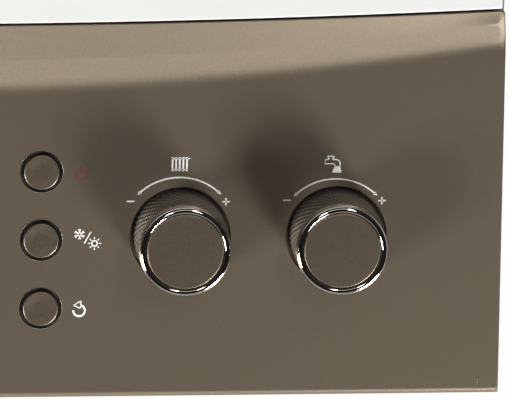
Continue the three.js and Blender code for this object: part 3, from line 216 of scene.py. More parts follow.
# Hot-dip aluminised sheet: a softer, milky grey.
aluminised = finish("aluminised_sheet", "aluminised_steel", "C3C5C4", 0.38, 0.9)
uneven(aluminised, 20, "B9BBBA", "CBCCCB", 0.06)
bumps(aluminised, grain(aluminised, 1.2), 0.01, 0.4)

# Cold-rolled stainless: brush lines 25 mm long and about a millimetre apart along the part.
stainless = finish("brushed_stainless", "stainless", "C2C3C4", 0.28, 1.0)
stretched = add(stainless.tree, "Mapping", {"Vector": stainless.place, "Scale": (40, 900, 900)})
lines = add(stainless.tree, "TexNoise", {"Vector": stretched.outputs["Vector"], "Scale": 1.0,
                                         "Detail": 2.0}).outputs["Fac"]
gloss(stainless, lines, 0.2, 0.38)
bumps(stainless, lines, 0.01, 0.4)

# Pressure-cast aluminium, shot-blasted: a pale and evenly grainy skin.
cast = finish("cast_aluminium", "cast_aluminium", "B7B9B8", 0.5, 0.85)
uneven(cast, 10, "ADAFAE", "BFC1C0", 0.06)
bumps(cast, grain(cast, 0.9), 0.06, 0.6)

# Drawn copper tube: bright, with browner patches where hands and flux have been.
copper = finish("drawn_copper", "copper", "C27C58", 0.27, 1.0)
uneven(copper, 30, "9A5B3E", "CB8763", 0.08)

# Hot-pressed brass with a tumbled skin.
brass = finish("pressed_brass", "brass", "C0A266", 0.32, 1.0)
uneven(brass, 12, "AC8F57", "C9AC70", 0.06)
bumps(brass, grain(brass, 0.8), 0.03, 0.5)

# Grey iron under a dipped dark coat: coarse sand grain shows through.
iron = finish("coated_cast_iron", "cast_iron", "3B3F42", 0.55, 0.3)
uneven(iron, 20, "34383B", "44484B", 0.07)
bumps(iron, grain(iron, 1.6), 0.15, 0.7)

# Baked dark enamel on the motor cans.
motor = finish("motor_can_enamel", "motor_paint", "2E3133", 0.4, Coat_Weight=0.2)
uneven(motor, 20, "2A2D2F", "343739", 0.05)
bumps(motor, grain(motor, 1.2), 0.03, 0.5)

# Moulded black ABS with a spark-eroded grain of about half a millimetre.
black = finish("grained_black_abs", "black_plastic", "222325", 0.55)
uneven(black, 30, "1F2022", "27282A", 0.05)
bumps(black, grain(black, 0.6), 0.03, 0.6)

# Moulded blue polyamide for the filling tap's handle.
blue = finish("blue_polyamide", "blue_plastic", "2A5FA8", 0.42, Coat_Weight=0.1)
uneven(blue, 8, "27589C", "2E66B2", 0.05)
bumps(blue, grain(blue, 0.7), 0.02, 0.5)

# Red stoving enamel on the expansion vessel and the safety cap.
red = finish("red_stoving_enamel", "red_paint", "A92B22", 0.36,
             Coat_Weight=0.3, Coat_Roughness=0.1)
uneven(red, 50, "A1281F", "B12F26", 0.04)
bumps(red, grain(red, 3), 0.03, 0.3)

# White ink and white printed card: matt, with the tooth of a screen print.
dial = finish("screen_printed_white", "dial_white", "EDEDE8", 0.6)
uneven(dial, 4, "E8E8E3", "F2F2EE", 0.05)

# Smoke-tinted polycarbonate window: dark and glossy with a hard-coat.
smoked = finish("smoked_polycarbonate", "smoked_lens", "15171A", 0.08,
                IOR=1.58, Coat_Weight=0.5, Coat_Roughness=0.04)
uneven(smoked, 20, "131518", "191B1E", 0.02)

# Clear moulded polycarbonate over the gauge.
clear = finish("clear_polycarbonate", "clear_glass", "FFFFFF", 0.03,
               IOR=1.58, Transmission_Weight=1.0)
gloss(clear, grain(clear, 10), 0.01, 0.05)

# Glazed alumina insulator.
ceramic = finish("glazed_alumina", "ceramic", "EDE7DA", 0.22,
                 Coat_Weight=0.5, Coat_Roughness=0.08)
uneven(ceramic, 6, "E8E1D2", "F2ECE1", 0.04)

# Epoxy board under green solder resist, with tracks about 1.3 mm apart showing through.
board = finish("solder_resist_board", "circuit_board", "1F5B33", 0.35, Coat_Weight=0.2)
tracks = add(board.tree, "TexBrick", {
    "Vector": board.place, "Scale": 1 / (5.2 * MM), "Mortar Size": 0.03,
    "Color1": tone("1D5430"), "Color2": tone("22633A"), "Mortar": tone("2F7A49")})
board.tree.links.new(tracks.outputs["Color"], board.shader.inputs["Base Color"])

# White print on the lacquer, the dark red of the on-off sign and the black of the gauge's scale.
ink = finish("white_pad_print", None, "F5F3EF", 0.5)
uneven(ink, 2, "F0EEEA", "F9F8F5", 0.05)
red_ink = finish("dark_red_pad_print", None, "7A2528", 0.5)
uneven(red_ink, 2, "742225", "80282B", 0.05)
black_ink = finish("black_screen_print", None, "1C1C1D", 0.55)
uneven(black_ink, 2, "191919", "202021", 0.05)

# Passivated steel screws: bright, with a trace of yellow.
plated = finish("passivated_screw_steel", None, "C6C4B8", 0.3, 1.0)
uneven(plated, 4, "BDBBAE", "CFCDC2", 0.06)

# Shapes


def place_mesh(name, mesh, slot, body, replaced, look=None):
    """An object for a mesh, with its finish, on the body it rides on and for the nodes it stands
    for."""
    mesh.materials.clear()
    mesh.materials.append((look or finishes[slot]).material)
    made = bpy.data.objects.new(name, mesh)
    bpy.context.scene.collection.objects.link(made)
    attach(made, body)
    if replaced:
        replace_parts(made, *replaced)
    return made


def smooth(mesh, sharp):
    """Smooth shading that stops at edges sharper than an angle in degrees."""
    mesh.polygons.foreach_set("use_smooth", np.ones(len(mesh.polygons), bool))
    mesh.set_sharp_from_angle(angle=math.radians(sharp))


def rounded_edges(made, width, angle=30):
    """A bevel of a width in mm on the edges sharper than an angle in degrees."""
    bevel = made.modifiers.new("edges", "BEVEL")
    bevel.width, bevel.segments, bevel.harden_normals = width * MM, 2, True
    bevel.limit_method, bevel.angle_limit = "ANGLE", math.radians(angle)


def piece(name, parts, slot, body, replaced=(), look=None, sharp=40, closed=True, wall=0.0):
    """One mesh piece. Parts are (points in mm, list of face arrays). Points that meet are merged,
    faces turn outwards, and a wall gives a surface its thickness in mm."""
    starts = np.cumsum([0] + [len(points) for points, _ in parts[:-1]])
    points = np.concatenate([points for points, _ in parts]) * MM
    faces = [face + start for (_, groups), start in zip(parts, starts) for face in groups]
    counts = np.concatenate([np.full(len(face), face.shape[1]) for face in faces])
    corners = np.concatenate([face.ravel() for face in faces])
    mesh = bpy.data.meshes.new(name)
    mesh.vertices.add(len(points))
    mesh.vertices.foreach_set("co", points.astype(np.float32).ravel())
    mesh.loops.add(len(corners))
    mesh.loops.foreach_set("vertex_index", corners.astype(np.int32))
    mesh.polygons.add(len(counts))
    first = np.concatenate([[0], np.cumsum(counts)[:-1]])
    mesh.polygons.foreach_set("loop_start", first.astype(np.int32))
    mesh.update(calc_edges=True)
    mesh.validate()
    work = bmesh.new()
    work.from_mesh(mesh)
    bmesh.ops.remove_doubles(work, verts=work.verts, dist=NEAR)
    if closed:
        bmesh.ops.recalc_face_normals(work, faces=work.faces)
    work.to_mesh(mesh)
    work.free()
    smooth(mesh, sharp)
    made = place_mesh(name, mesh, slot, body, replaced, look)
    if wall:
        solid = made.modifiers.new("wall", "SOLIDIFY")
        solid.thickness, solid.offset = wall * MM, -1
    return made


def quads(rings, along=False):
    """Faces over an array of rings (rings, stations, 3): each joins station k and k + 1 of two
    neighbouring rings, and along joins the last ring to the first."""
    count, stations = rings.shape[:2]
    number = np.arange(count * stations).reshape(count, stations)
    number = np.concatenate([number, number[:, :1]], axis=1)
    if along:
        number = np.concatenate([number, number[:1]])
    faces = [number[:-1, :-1], number[:-1, 1:], number[1:, 1:], number[1:, :-1]]
    return rings.reshape(-1, 3), [np.stack(faces, axis=-1).reshape(-1, 4)]


def lid(ring):
    """One flat face over a closed ring of points."""
    return ring, [np.arange(len(ring))[None]]


def eased(route, radius, steps=5):
    """A polyline with its corners rounded. A corner c becomes (1 - t)^2 a + 2 t (1 - t) c + t^2 b,
    where a and b lie the radius away along its two sides, or 45% of the shorter side."""
    route = np.asarray(route, float)
    corner = route[1:-1]
    before, after = route[:-2] - corner, route[2:] - corner
    longs = [np.linalg.norm(side, axis=1, keepdims=True) for side in (before, after)]
    reach = np.minimum(radius, 0.45 * np.minimum(*longs))
    a = corner + before / longs[0] * reach
    b = corner + after / longs[1] * reach
    t = np.linspace(0, 1, steps)[None, :, None]
    curve = (1 - t) ** 2 * a[:, None] + 2 * t * (1 - t) * corner[:, None] + t ** 2 * b[:, None]
    return np.concatenate([route[:1], curve.reshape(-1, route.shape[1]), route[-1:]])


def round_turn(steps):
    """Angles once round, without the last, which is the first again."""
    return np.linspace(0, FULL, steps, endpoint=False)


def turned(profile, centre, axis="y", steps=72):
    """Rings of a turned form. A profile point (r, h) becomes centre + r (cos a, sin a) across the
    axis + h along it."""
    profile = np.asarray(profile, float)
    angle = round_turn(steps)
    one, two = profile[:, :1] * np.cos(angle), profile[:, :1] * np.sin(angle)
    along = np.broadcast_to(profile[:, 1:], one.shape)
    order = {"y": (one, along, two), "z": (one, two, along)}[axis]
    return np.stack(order, axis=-1) + np.asarray(centre, float)


def lathe(name, profile, centre, slot, body, replaced=(), steps=72, rounding=0.0, **more):
    """A piece turned about y from a closed or pole-to-pole profile, with its corners rounded."""
    if rounding:
        profile = eased(profile, rounding)
    return piece(name, [quads(turned(profile, centre, "y", steps))], slot, body, replaced, **more)


def fluted(profile, centre, count, away, flute):
    """A turned form about z, cut by upright round flutes. With the turn d from the nearest flute,
    the flutes' distance p and their radius q, no ring is wider than
    p cos d - sqrt(q^2 - p^2 sin^2 d)."""
    rings = turned(profile, (0, 0, 0), "z", 256)
    off = (round_turn(256) + math.pi / count) % (FULL / count) - math.pi / count
    under = flute ** 2 - (away * np.sin(off)) ** 2
    edge = away * np.cos(off) - np.sqrt(np.clip(under, 0, None))
    radius = np.hypot(rings[..., 0], rings[..., 1])
    most = np.where(under > 0, edge, np.inf)
    rings[..., :2] *= (np.minimum(radius, most) / np.maximum(radius, 1e-9))[..., None]
    return rings + centre


def hose(route, radius, bore):
    """Rings of a tube along a flat route: at each station a circle in the plane of the route's
    normal and the cross product of that normal and the route's direction. It returns inside as
    the bore."""
    line = eased(route, PIPE_BEND, 9)
    ahead = np.gradient(line, axis=0)
    ahead /= np.linalg.norm(ahead, axis=1, keepdims=True)
    normal = np.cross(ahead[0], ahead[len(line) // 2])
    normal /= np.linalg.norm(normal)
    side = np.cross(ahead, normal)
    angle = round_turn(28)[None, :, None]
    ring = np.cos(angle) * normal + np.sin(angle) * side[:, None]
    outer, inner = line[:, None] + radius * ring, line[:, None] + bore * ring
    return quads(np.concatenate([outer, inner[::-1]]), along=True)


def dressed(node, slot, edge):
    """A copy of a frame piece with its double points merged, its flat faces joined and its edges
    rounded by a bevel."""
    source = frame["nodes"][node]
    mesh = source.data.copy()
    work = bmesh.new()
    work.from_mesh(mesh)
    bmesh.ops.remove_doubles(work, verts=work.verts, dist=NEAR)
    bmesh.ops.dissolve_limit(work, angle_limit=math.radians(1), verts=work.verts, edges=work.edges)
    work.to_mesh(mesh)
    work.free()
    smooth(mesh, 32)
    made = place_mesh(node + "_finished", mesh, slot, body_of(source)[0], [node])
    rounded_edges(made, edge, 32)


def bricks(name, boxes, slot, body, edge):
    """Flat bars given as (x0, x1, y0, y1, z0, z1), joined in one piece with rounded edges."""
    corners = np.array([(i, j, k) for i in (0, 1) for j in (0, 1) for k in (0, 1)])
    faces = np.array([(0, 1, 3, 2), (4, 6, 7, 5), (0, 4, 5, 1), (2, 3, 7, 6), (0, 2, 6, 4),
                      (1, 5, 7, 3)])
    parts = []
    for box in boxes:
        low, high = np.array(box[0::2], float), np.array(box[1::2], float)
        parts.append((low + corners * (high - low), [faces]))
    rounded_edges(piece(name, parts, slot, body, sharp=30), edge)


def screws(name, places, facing, body="casing", head=3.4):
    """Pan-head screws with a six-sided socket. Rings (r, h) stand on each place, and in the socket
    r is multiplied by cos 30 / cos((a mod 60) - 30), which makes it a hexagon."""
    angle = round_turn(24)
    hexagon = math.cos(math.pi / 6) / np.cos(angle % (math.pi / 3) - math.pi / 6)
    radius = np.array([0, 0.42, 0.42, 0.5, 0.86, 1.0, 1.0])[:, None] * head
    radius = radius * np.where(np.arange(7)[:, None] < 3, hexagon, 1.0)
    height = np.array([0.22, 0.22, 0.6, 0.64, 0.55, 0.3, -0.1])[:, None, None] * head
    facing = np.array(facing, float)
    side = np.cross(facing, [0.0, 0.0, 1.0] if abs(facing[2]) < 0.5 else [1.0, 0.0, 0.0])
    across = np.cos(angle)[:, None] * side + np.sin(angle)[:, None] * np.cross(facing, side)
    ring = radius[..., None] * across + height * facing
    piece(name, [quads(ring + np.array(place, float)) for place in places], "zinc_steel", body,
          look=plated, sharp=35)


# Control panel


def arc(height, rise, x):
    """A line across the front: its height at the middle plus the rise times (x / half width)^2."""
    return LOWEST + height + rise * (x / HALF) ** 2


def recess(x, z):
    """How far the panel's front lies behind its flat face. It leans back from the flat's upper arc
    to the crease and on to the top edge. A slope m that starts at line l adds
    m (z - l + h)^2 / 4h near it, then m (z - l)."""
    flat, crease, top = arc(*FLAT, x), arc(*CREASE, x), arc(*TOP, x)
    first, second = LEAN / (crease - flat), LEAN / (top - crease)

    def start(over, half):
        over = np.clip(over, -half, None)
        return np.where(over < half, (over + half) ** 2 / (4 * half), over)
    return first * start(z - flat, SOFT) + (second - first) * start(z - crease, CRISP)


def panel_loop(share, low, high, eases, corners):
    """A loop round the front, drawn in from its outline by a share of each edge's rounding, and how
    deep that rounding goes at each point: e sin^2 q + f cos^2 q at turn q of a corner that joins a
    foot f to a side e."""
    side, foot, head = (share * ease for ease in eases)
    quarter, rise = np.linspace(0, math.pi / 2, 7)[1:-1], np.linspace(0, 1, 24)
    edge, stations = HALF - side, 64
    below, above = (np.linspace(c - edge, edge - c, stations) for c in corners)
    start, end = low(HALF) + foot + corners[0], high(HALF) - head - corners[1]
    sine, cosine = np.sin(quarter), np.cos(quarter)
    right = np.concatenate([
        np.stack([edge - corners[0] * (1 - sine), start - corners[0] * cosine], axis=1),
        np.stack([np.full(len(rise), edge), start + (end - start) * rise], axis=1),
        np.stack([edge - corners[1] * (1 - cosine), end + corners[1] * sine], axis=1)])
    mix = sine ** 2
    right_ease = np.concatenate([eases[0] * mix + eases[1] * (1 - mix),
                                 np.full(len(rise), eases[0]),
                                 eases[0] * (1 - mix) + eases[2] * mix])
    loop = np.concatenate([np.stack([below, low(below) + foot], axis=1), right,
                           np.stack([above, high(above) - head], axis=1)[::-1],
                           (right * [-1, 1])[::-1]])
    ease = np.concatenate([np.full(stations, eases[1]), right_ease, np.full(stations, eases[2]),
                           right_ease[::-1]])
    return loop, ease


def front_skin(low, high, depth, eases, corners, back, holes=(), inner_lines=()):
    """The front and the rim of a tray: loops that round over from the rim, then a filled front
    round the holes. The round at angle a lies e (1 - cos a) in from the rim and e (1 - sin a)
    behind the front."""
    turn = np.linspace(0, math.pi / 2, 7)
    loops = np.stack([panel_loop(1 - math.cos(a), low, high, eases, corners)[0] for a in turn])
    inner, ease = panel_loop(1.0, low, high, eases, corners)
    y = depth(inner[:, 0], inner[:, 1]) + ease * (1 - np.sin(turn))[:, None]
    rounded = np.stack([loops[..., 0], y, loops[..., 1]], axis=-1)
    rear = rounded[:1].copy()
    rear[..., 1] = back
    rings = np.concatenate([rear, (rear + rounded[:1]) / 2, rounded])
    outlines = [inner, *holes]
    lines = outlines + list(inner_lines)
    starts = np.cumsum([0] + [len(line) for line in lines])
    edges = []
    for number, line in enumerate(lines):
        run = np.arange(len(line)) + starts[number]
        ends = np.roll(run, -1) if number < len(outlines) else run[1:]
        edges += list(zip(run[:len(ends)].tolist(), ends.tolist()))
    flat_points = [Vector(p) for p in np.concatenate(lines)]
    filled = geometry.delaunay_2d_cdt(flat_points, edges, [], 0, 1e-5)
    points = np.array([tuple(p) for p in filled[0]])
    faces = np.array([f for f in filled[2]])
    middle = points[faces].mean(axis=1)
    keep = inside(middle, inner)
    for hole in holes:
        keep &= ~inside(middle, hole)
    surface = np.stack([points[:, 0], depth(points[:, 0], points[:, 1]), points[:, 1]], axis=-1)
    return [quads(rings), (surface, [faces[keep]])]


def inside(points, outline):
    """Which points lie inside a closed outline: a line drawn towards +x crosses its edges an odd
    number of times."""
    a, b = outline, np.roll(outline, -1, axis=0)
    crosses = (a[None, :, 1] > points[:, 1:]) != (b[None, :, 1] > points[:, 1:])
    rise = b[:, 1] - a[:, 1]
    rise = np.where(np.abs(rise) < 1e-12, 1e-12, rise)
    at = a[:, 0] + (points[:, 1:] - a[:, 1]) / rise * (b[:, 0] - a[:, 0])
    return (crosses & (at > points[:, :1])).sum(axis=1) % 2 == 1


def circle(x, z, radius, steps=72):
    """Points round a circle on the front."""
    angle = round_turn(steps)
    return np.stack([x + radius * np.cos(angle), z + radius * np.sin(angle)], axis=1)


def window(x, z, half_width, half_height, corner):
    """A rectangle with rounded corners on the front."""
    centres = np.array([[1, 1], [-1, 1], [-1, -1], [1, -1]])
    centres = centres * [half_width - corner, half_height - corner]
    angle = np.linspace(0, math.pi / 2, 8) + np.arange(4)[:, None] * math.pi / 2
    round_off = np.stack([np.cos(angle), np.sin(angle)], axis=-1) * corner
    return (centres[:, None] + round_off).reshape(-1, 2) + [x, z]


def rim(outlines, depths):
    """Rings through outlines of the same count at the given depths."""
    return quads(np.stack([np.insert(line, 1, y, axis=1) for line, y in zip(outlines, depths)]))


def lip(shape, size, ease, floor):
    """A hole's wall with a rounded mouth: at angle a it is e (1 - sin a) wider than the hole and
    e (1 - cos a) deep."""
    turn = np.linspace(0, math.pi / 2, 5)
    outlines = [shape(size + ease * (1 - math.sin(a))) for a in turn] + [shape(size)]
    return rim(outlines, [FACE + ease * (1 - math.cos(a)) for a in turn] + [floor])


def level(made):
    """Shading normals led by the large faces, so that flat faces shade flat up to their rounds."""
    even = made.modifiers.new("even", "WEIGHTED_NORMAL")
    even.weight, even.keep_sharp = 80, True


def control_panel():
    """The fascia: rounded rim, flat face, two bands that lean back, and its cups, guides and
    window."""
    cups = [lambda r, x=x: circle(x, ROW, r, 96) for x in (HEATING, WATER)]
    keys = [lambda r, z=z: circle(BUTTON_X, z, r, 56) for z in BUTTON_ROWS]
    pane = lambda grow: window(DISPLAY_X, ROW, *(half + grow for half in DISPLAY_HALF), 1.2 + grow)
    gauge_hole = lambda r: circle(GAUGE_X, ROW, r)
    # Each opening has its shape, its size, its mouth's rounding and how deep its wall goes.
    ease, through = 0.5, -327.4
    mouths = [(cup, CUP, ease, CUP_FLOOR) for cup in cups]
    mouths += [(key, 8.05, ease / 2, -322.2) for key in keys]
    mouths += [(pane, 0.0, ease, through), (gauge_hole, 22.3, ease, through)]
    holes = [shape(size + round_off) for shape, size, round_off, _ in mouths]
    # Lines across give the front its points, close together where it bends.
    across = np.linspace(-HALF + 3, HALF - 3, 89)
    flat, crease, top = (arc(*line, across) for line in (FLAT, CREASE, TOP))
    rows = [flat + s for s in (-SOFT, -2.4, -1.2, 0, 1.2, 2.4, SOFT)]
    rows += [(flat + SOFT + crease - CRISP) / 2]
    rows += [crease + s * CRISP for s in (-1, -1 / 3, 1 / 3, 1)]
    rows += [crease + CRISP + (top - 0.85 - crease - CRISP) * s for s in (0.33, 0.66)]
    lines = [np.stack([across, row], axis=1) for row in rows]
    parts = front_skin(lambda x: arc(*LOW, x), lambda x: arc(*TOP, x),
                       lambda x, z: FACE + recess(x, z), (0.6, 2.6, 0.5), (0.9, 0.9), PANEL_REAR,
                       holes, lines)
    parts += [lip(*mouth) for mouth in mouths]
    parts += [rim([cup(CUP), cup(12.0), cup(4.0)], [CUP_FLOOR] * 3) for cup in cups]
    level(piece("fascia_moulding", parts, "taupe_panel", "control_panel", ["control_fascia"],
                closed=False, sharp=50, wall=2.2))


# Knobs and buttons


def knurled(x):
    """A skirt with slanting ribs, notched across. It is straight for 6 mm and then narrows to the
    ring, less the depth times 1 - min(g(n a + m s), 0.5 + 0.5 g(n a - m s)), where a is the turn,
    s the share along and g a wave from 0 to 1."""
    back, front = -324.9, KNOB_FRONT + 2.7
    around, along, depth = 48, 6, 1.05
    wide, narrows, straight = 18.0, 0.6, 0.22
    share = np.linspace(0, 1, along * 10 + 1)[:, None]
    turn = np.linspace(0, 1, around * 8, endpoint=False)[None]
    wave = lambda value: 1 - np.abs(2 * (value % 1) - 1)
    height = np.minimum(wave(around * turn + along * share),
                        0.5 + 0.5 * wave(around * turn - along * share))
    fade = np.clip(np.minimum(share, 1 - share) / 0.04, 0, 1)
    taper = np.clip((share - straight) / (1 - straight), 0, 1)
    radius = wide - narrows * taper - depth * fade * (1 - height)
    angle = FULL * turn
    y = np.broadcast_to(back + (front - back) * share, radius.shape)
    return np.stack([x + radius * np.cos(angle), y, ROW + radius * np.sin(angle)], axis=-1)


def selector(name, x, body):
    """A selector knob: a knurled skirt, a bright ring let into its front and a flat disc inside
    the ring."""
    skin = knurled(x)
    centre = (x, KNOB_FRONT, ROW)
    front = turned([(17.2, 2.55), (17.2, 5.85), (14.4, 5.85), (14.4, 3.2), (3.4, 3.2), (3.4, 29.6),
                    (17.6, 29.6), (17.9, 29.4)], centre, "y", skin.shape[1])
    piece(name + "_skirt", [quads(np.concatenate([skin, front]), along=True)], "dark_taupe", body,
          [name], sharp=60)
    lathe(name + "_chrome", [(14.75, 5.7), (17.1, 5.7), (17.1, 2.5), (17.45, 2.4), (17.45, 1.9),
                             (17.2, 1.0), (16.65, 0.25), (16.0, 0.0), (15.3, 0.1), (14.9, 0.4),
                             (14.75, 1.0), (14.75, 5.7)],
          centre, "chrome", body, [name + "_ring"], steps=160, rounding=0.4, sharp=60)
    # The disc wears the darker copy of the lacquer, which is painted shade.
    lathe(name + "_face", [(0, 0.5), (14.1, 0.5), (14.55, 0.75), (14.65, 1.3), (14.65, 3.0),
                           (0, 3.0)],
          centre, "taupe_panel", body, [name + "_disc"], steps=160, rounding=0.25, sharp=50,
          look=shaded_disc_lacquer)


def push_button(name, z, body):
    """A button cap with a wide soft edge and a shallow dish, on its flange and stem, and a black
    collar in its guide, which is painted shade that darkens the gap round the cap."""
    centre = (BUTTON_X, 0, z)
    # The cap wears the darker copy of the lacquer, which is painted shade.
    lathe(name + "_cap", [(0, -330.75), (3.2, -330.84), (5.2, -331.06), (6.2, -331.2),
                          (6.72, -330.95), (6.8, -330.4), (6.8, -327.2), (8.9, -327.2),
                          (8.9, -325.7), (2.6, -325.7), (2.6, -321.7), (0, -321.7)],
          centre, "taupe_panel", body, [name], steps=64, rounding=0.45, sharp=50, look=shaded_disc_lacquer)
    # Painted shade: a black collar in the guide stands in for the shade deep in the gap round the
    # cap.
    lathe(name + "_shade_collar", [(6.95, -327.4), (6.95, -328.7), (7.2, -329.0), (8.0, -329.0),
                                (8.0, -327.4), (6.95, -327.4)],
          centre, "black_plastic", "control_panel", steps=64, rounding=0.1, sharp=50)


# Printed signs, in mm on the front


def ribbon(line, width, closed=False):
    """A flat band along a line: each point moves half the width to either side of the line's
    direction."""
    line = np.asarray(line, float)
    if closed:
        ahead = np.roll(line, -1, axis=0) - np.roll(line, 1, axis=0)
    else:
        ahead = np.gradient(line, axis=0)
    ahead /= np.linalg.norm(ahead, axis=1, keepdims=True)
    side = np.stack([-ahead[:, 1], ahead[:, 0]], axis=1) * width / 2
    pair = np.stack([line + side, line - side])
    count = len(line)
    run = np.arange(count if closed else count - 1)
    after = (run + 1) % count
    return pair.reshape(-1, 2), np.stack([run, after, after + count, run + count], axis=1)


def bar(x0, z0, x1, z1, width):
    """A straight band with square ends."""
    return ribbon([(x0, z0), ((x0 + x1) / 2, (z0 + z1) / 2), (x1, z1)], width)


def bow(x, z, radius, start, end, width, steps=40):
    """A band along part of a circle, from one angle to another in degrees."""
    angle = np.radians(np.linspace(start, end, steps))
    line = np.stack([x + radius * np.cos(angle), z + radius * np.sin(angle)], axis=1)
    return ribbon(line, width)


def patch(*corners):
    """A filled outline."""
    return np.array(corners, float), np.arange(len(corners))[None]


def spot(x, z, radius, turn):
    """A point at a radius and an angle in degrees."""
    angle = math.radians(turn)
    return np.array([x + radius * math.cos(angle), z + radius * math.sin(angle)])


def printed(name, shapes, look=ink, slot="dial_white", y=FACE - INK):
    """Flat shapes printed on the front, as a film of ink."""
    parts = [(np.insert(points, 1, y, axis=1), [faces]) for points, faces in shapes]
    piece(name, parts, slot, "control_panel", look=look, closed=False)


def range_arc(x, centre_x, centre_z):
    """The arc over a selector with an arrow head at each end, a minus at its left and a plus at its
    right."""
    ring, reach, width, stroke = 22.15, 43.4, 0.6, 0.55
    shapes = [bow(centre_x, centre_z, ring, 90 - reach, 90 + reach, width)]
    for side in (-1, 1):
        turn = 90 - side * reach
        tip, out = spot(centre_x, centre_z, ring, turn), spot(0, 0, 1, turn)
        on = np.array([out[1], -out[0]]) * side
        shapes.append(patch(tip + on * 0.95, tip - on * 0.75 + out * 0.85, tip - on * 0.35,
                            tip - on * 0.75 - out * 0.85))
    minus, plus, row, half = x - 19.1, x + 17.1, ROW + 13.5, 1.45
    return shapes + [bar(minus - half, row + 0.4, minus + half, row + 0.4, stroke),
                     bar(plus - half, row, plus + half, row, stroke),
                     bar(plus, row - half, plus, row + half, stroke)]


def snowflake(x, z):
    """Six arms, each with a forked head, given as shares of the reach and angles off the arm."""
    reach = 2.15
    head = [(0.605, 0), (0.8, -19), (1, -10), (0.86, 0), (1, 10), (0.8, 19)]
    shapes = []
    for turn in range(90, 450, 60):
        corners = [spot(x, z, reach * share, turn + off) for share, off in head]
        shapes += [bar(x, z, *corners[0], 0.56), patch(*corners)]
    return shapes


def sun(x, z):
    """A ring with eight short rays."""
    return [bow(x, z, 1.06, 0, 360, 0.46)] + [
        bar(*spot(x, z, 1.6, turn), *spot(x, z, 2.5, turn), 0.4) for turn in range(0, 360, 45)]


def power_sign(x, z):
    """A ring open at the top with a stem in the gap."""
    return [bow(x, z, 2.2, -214, 34, 0.55), bar(x, z + 0.1, x, z + 2.9, 0.5)]


def reset_sign(x, z):
    """A thick open ring whose end runs into an outlined arrow head."""
    head = np.array([(-2.1, 2.1), (0.75, 3.75), (0.55, 0.85)]) + (x, z)
    return [bow(x, z, 2.2, -184, 72, 0.74)] + [
        bar(*head[i], *head[i - 1], 0.38) for i in range(3)]


def radiator_sign(x, z):
    """Five upright columns joined by two pipes, the upper one ending in a valve."""
    columns = [bar(x + 1.37 * i, z - 2.75, x + 1.37 * i, z + 2.75, 0.66) for i in range(-2, 3)]
    return columns + [bar(x - 3.1, z + 2.15, x + 4.0, z + 2.15, 0.36),
                      bar(x - 3.1, z - 2.1, x + 3.1, z - 2.1, 0.36)]


def tap_sign(x, z):
    """A bib tap in outline with its handle, and water under the spout."""
    stroke = 0.42
    under = [(-1.6, 2.2), (-3.05, 2.2), (-3.05, 0.55), (0.1, 0.55), (0.6, -0.2), (0.75, -0.6)]
    over = [(-0.4, 2.2), (1.0, 2.2), (1.9, 1.9), (2.5, 1.1), (2.6, 0.1), (2.5, -0.6)]
    handle = [(-2.45, 3.45, 0.5, 3.45), (-2.3, 3.4, -1.55, 2.3), (0.35, 3.4, -0.4, 2.3)]
    return [ribbon(np.add(line, (x, z)), stroke) for line in (under, over)] + [
        bar(*np.add(ends, (x, z, x, z)), stroke) for ends in handle] + [
        patch((x + 0.6, z - 0.4), (x + 2.6, z - 0.4), (x + 3.2, z - 2.95), (x - 0.5, z - 2.95))]


def numeral(digit, x, z):
    """A plain digit from 0 to 4 drawn with strokes on a field half as wide as it is tall."""
    h, w, stroke = 1.7, 0.85, 0.42
    if digit == 0:
        turn = round_turn(24)
        line = np.stack([x + w * np.cos(turn), z + h * np.sin(turn)], axis=1)
        return [ribbon(line, stroke, True)]
    if digit == 3:
        return [bow(x, z + 0.5 * h, 0.5 * h, 150, -90, stroke, 14),
                bow(x, z - 0.5 * h, 0.5 * h, 90, -150, stroke, 14)]
    ends = {1: [(0.2 * w, -h, 0.2 * w, h), (-0.6 * w, 0.55 * h, 0.2 * w, 0.95 * h)],
            2: [(0.8 * w, h - 1.6 * w, -w, 0.1 - h), (-1.1 * w, 0.2 - h, 1.1 * w, 0.2 - h)],
            4: [(0.4 * w, -h, 0.4 * w, h), (0.4 * w, h, -1.1 * w, -0.35 * h),
                (-1.2 * w, -0.35 * h, 1.2 * w, -0.35 * h)]}[digit]
    head = [bow(x, z + h - w, w, 165, -35, stroke, 14)] if digit == 2 else []
    return head + [bar(*np.add(line, (x, z, x, z)), stroke) for line in ends]


def pressure_scale(x, z):
    """Marks from 0 to 4 over three quarters of a turn, with a number at each whole mark."""
    shapes = []
    for number in range(21):
        turn, whole = 225 - 13.5 * number, number % 5 == 0
        shapes.append(bar(*spot(x, z, 14.6 if whole else 16.0, turn), *spot(x, z, 17.6, turn),
                          0.5 if whole else 0.25))
        if whole:
            shapes += numeral(number // 5, *spot(x, z, 11.6, turn))
    return shapes


# Pieces


def controls():
    """The panel with its knobs, buttons and prints."""
    control_panel()
    selector("heating_knob", HEATING, "heating_dial")
    selector("water_knob", WATER, "water_dial")
    for name, z in zip(("on_off", "season", "reset"), BUTTON_ROWS):
        push_button(name + "_button", z, name + "_key")
    printed("heating_range_print", range_arc(HEATING, HEATING - 0.7, ROW + 0.95))
    printed("water_range_print", range_arc(WATER, WATER - 0.6, ROW))
    printed("on_off_print", power_sign(59.35, LOWEST + 87.9), red_ink, "red_paint")
    stroke_between = bar(63.4, LOWEST + 65.3, 60.9, LOWEST + 60.8, 0.42)
    printed("season_print",
            snowflake(59.1, LOWEST + 64.4) + [stroke_between] + sun(64.8, LOWEST + 60.8))
    printed("reset_print", reset_sign(59.2, LOWEST + 34.5))
    printed("heating_print", radiator_sign(96.8, LOWEST + 91.5))
    printed("water_print", tap_sign(155.2, LOWEST + 90.75))


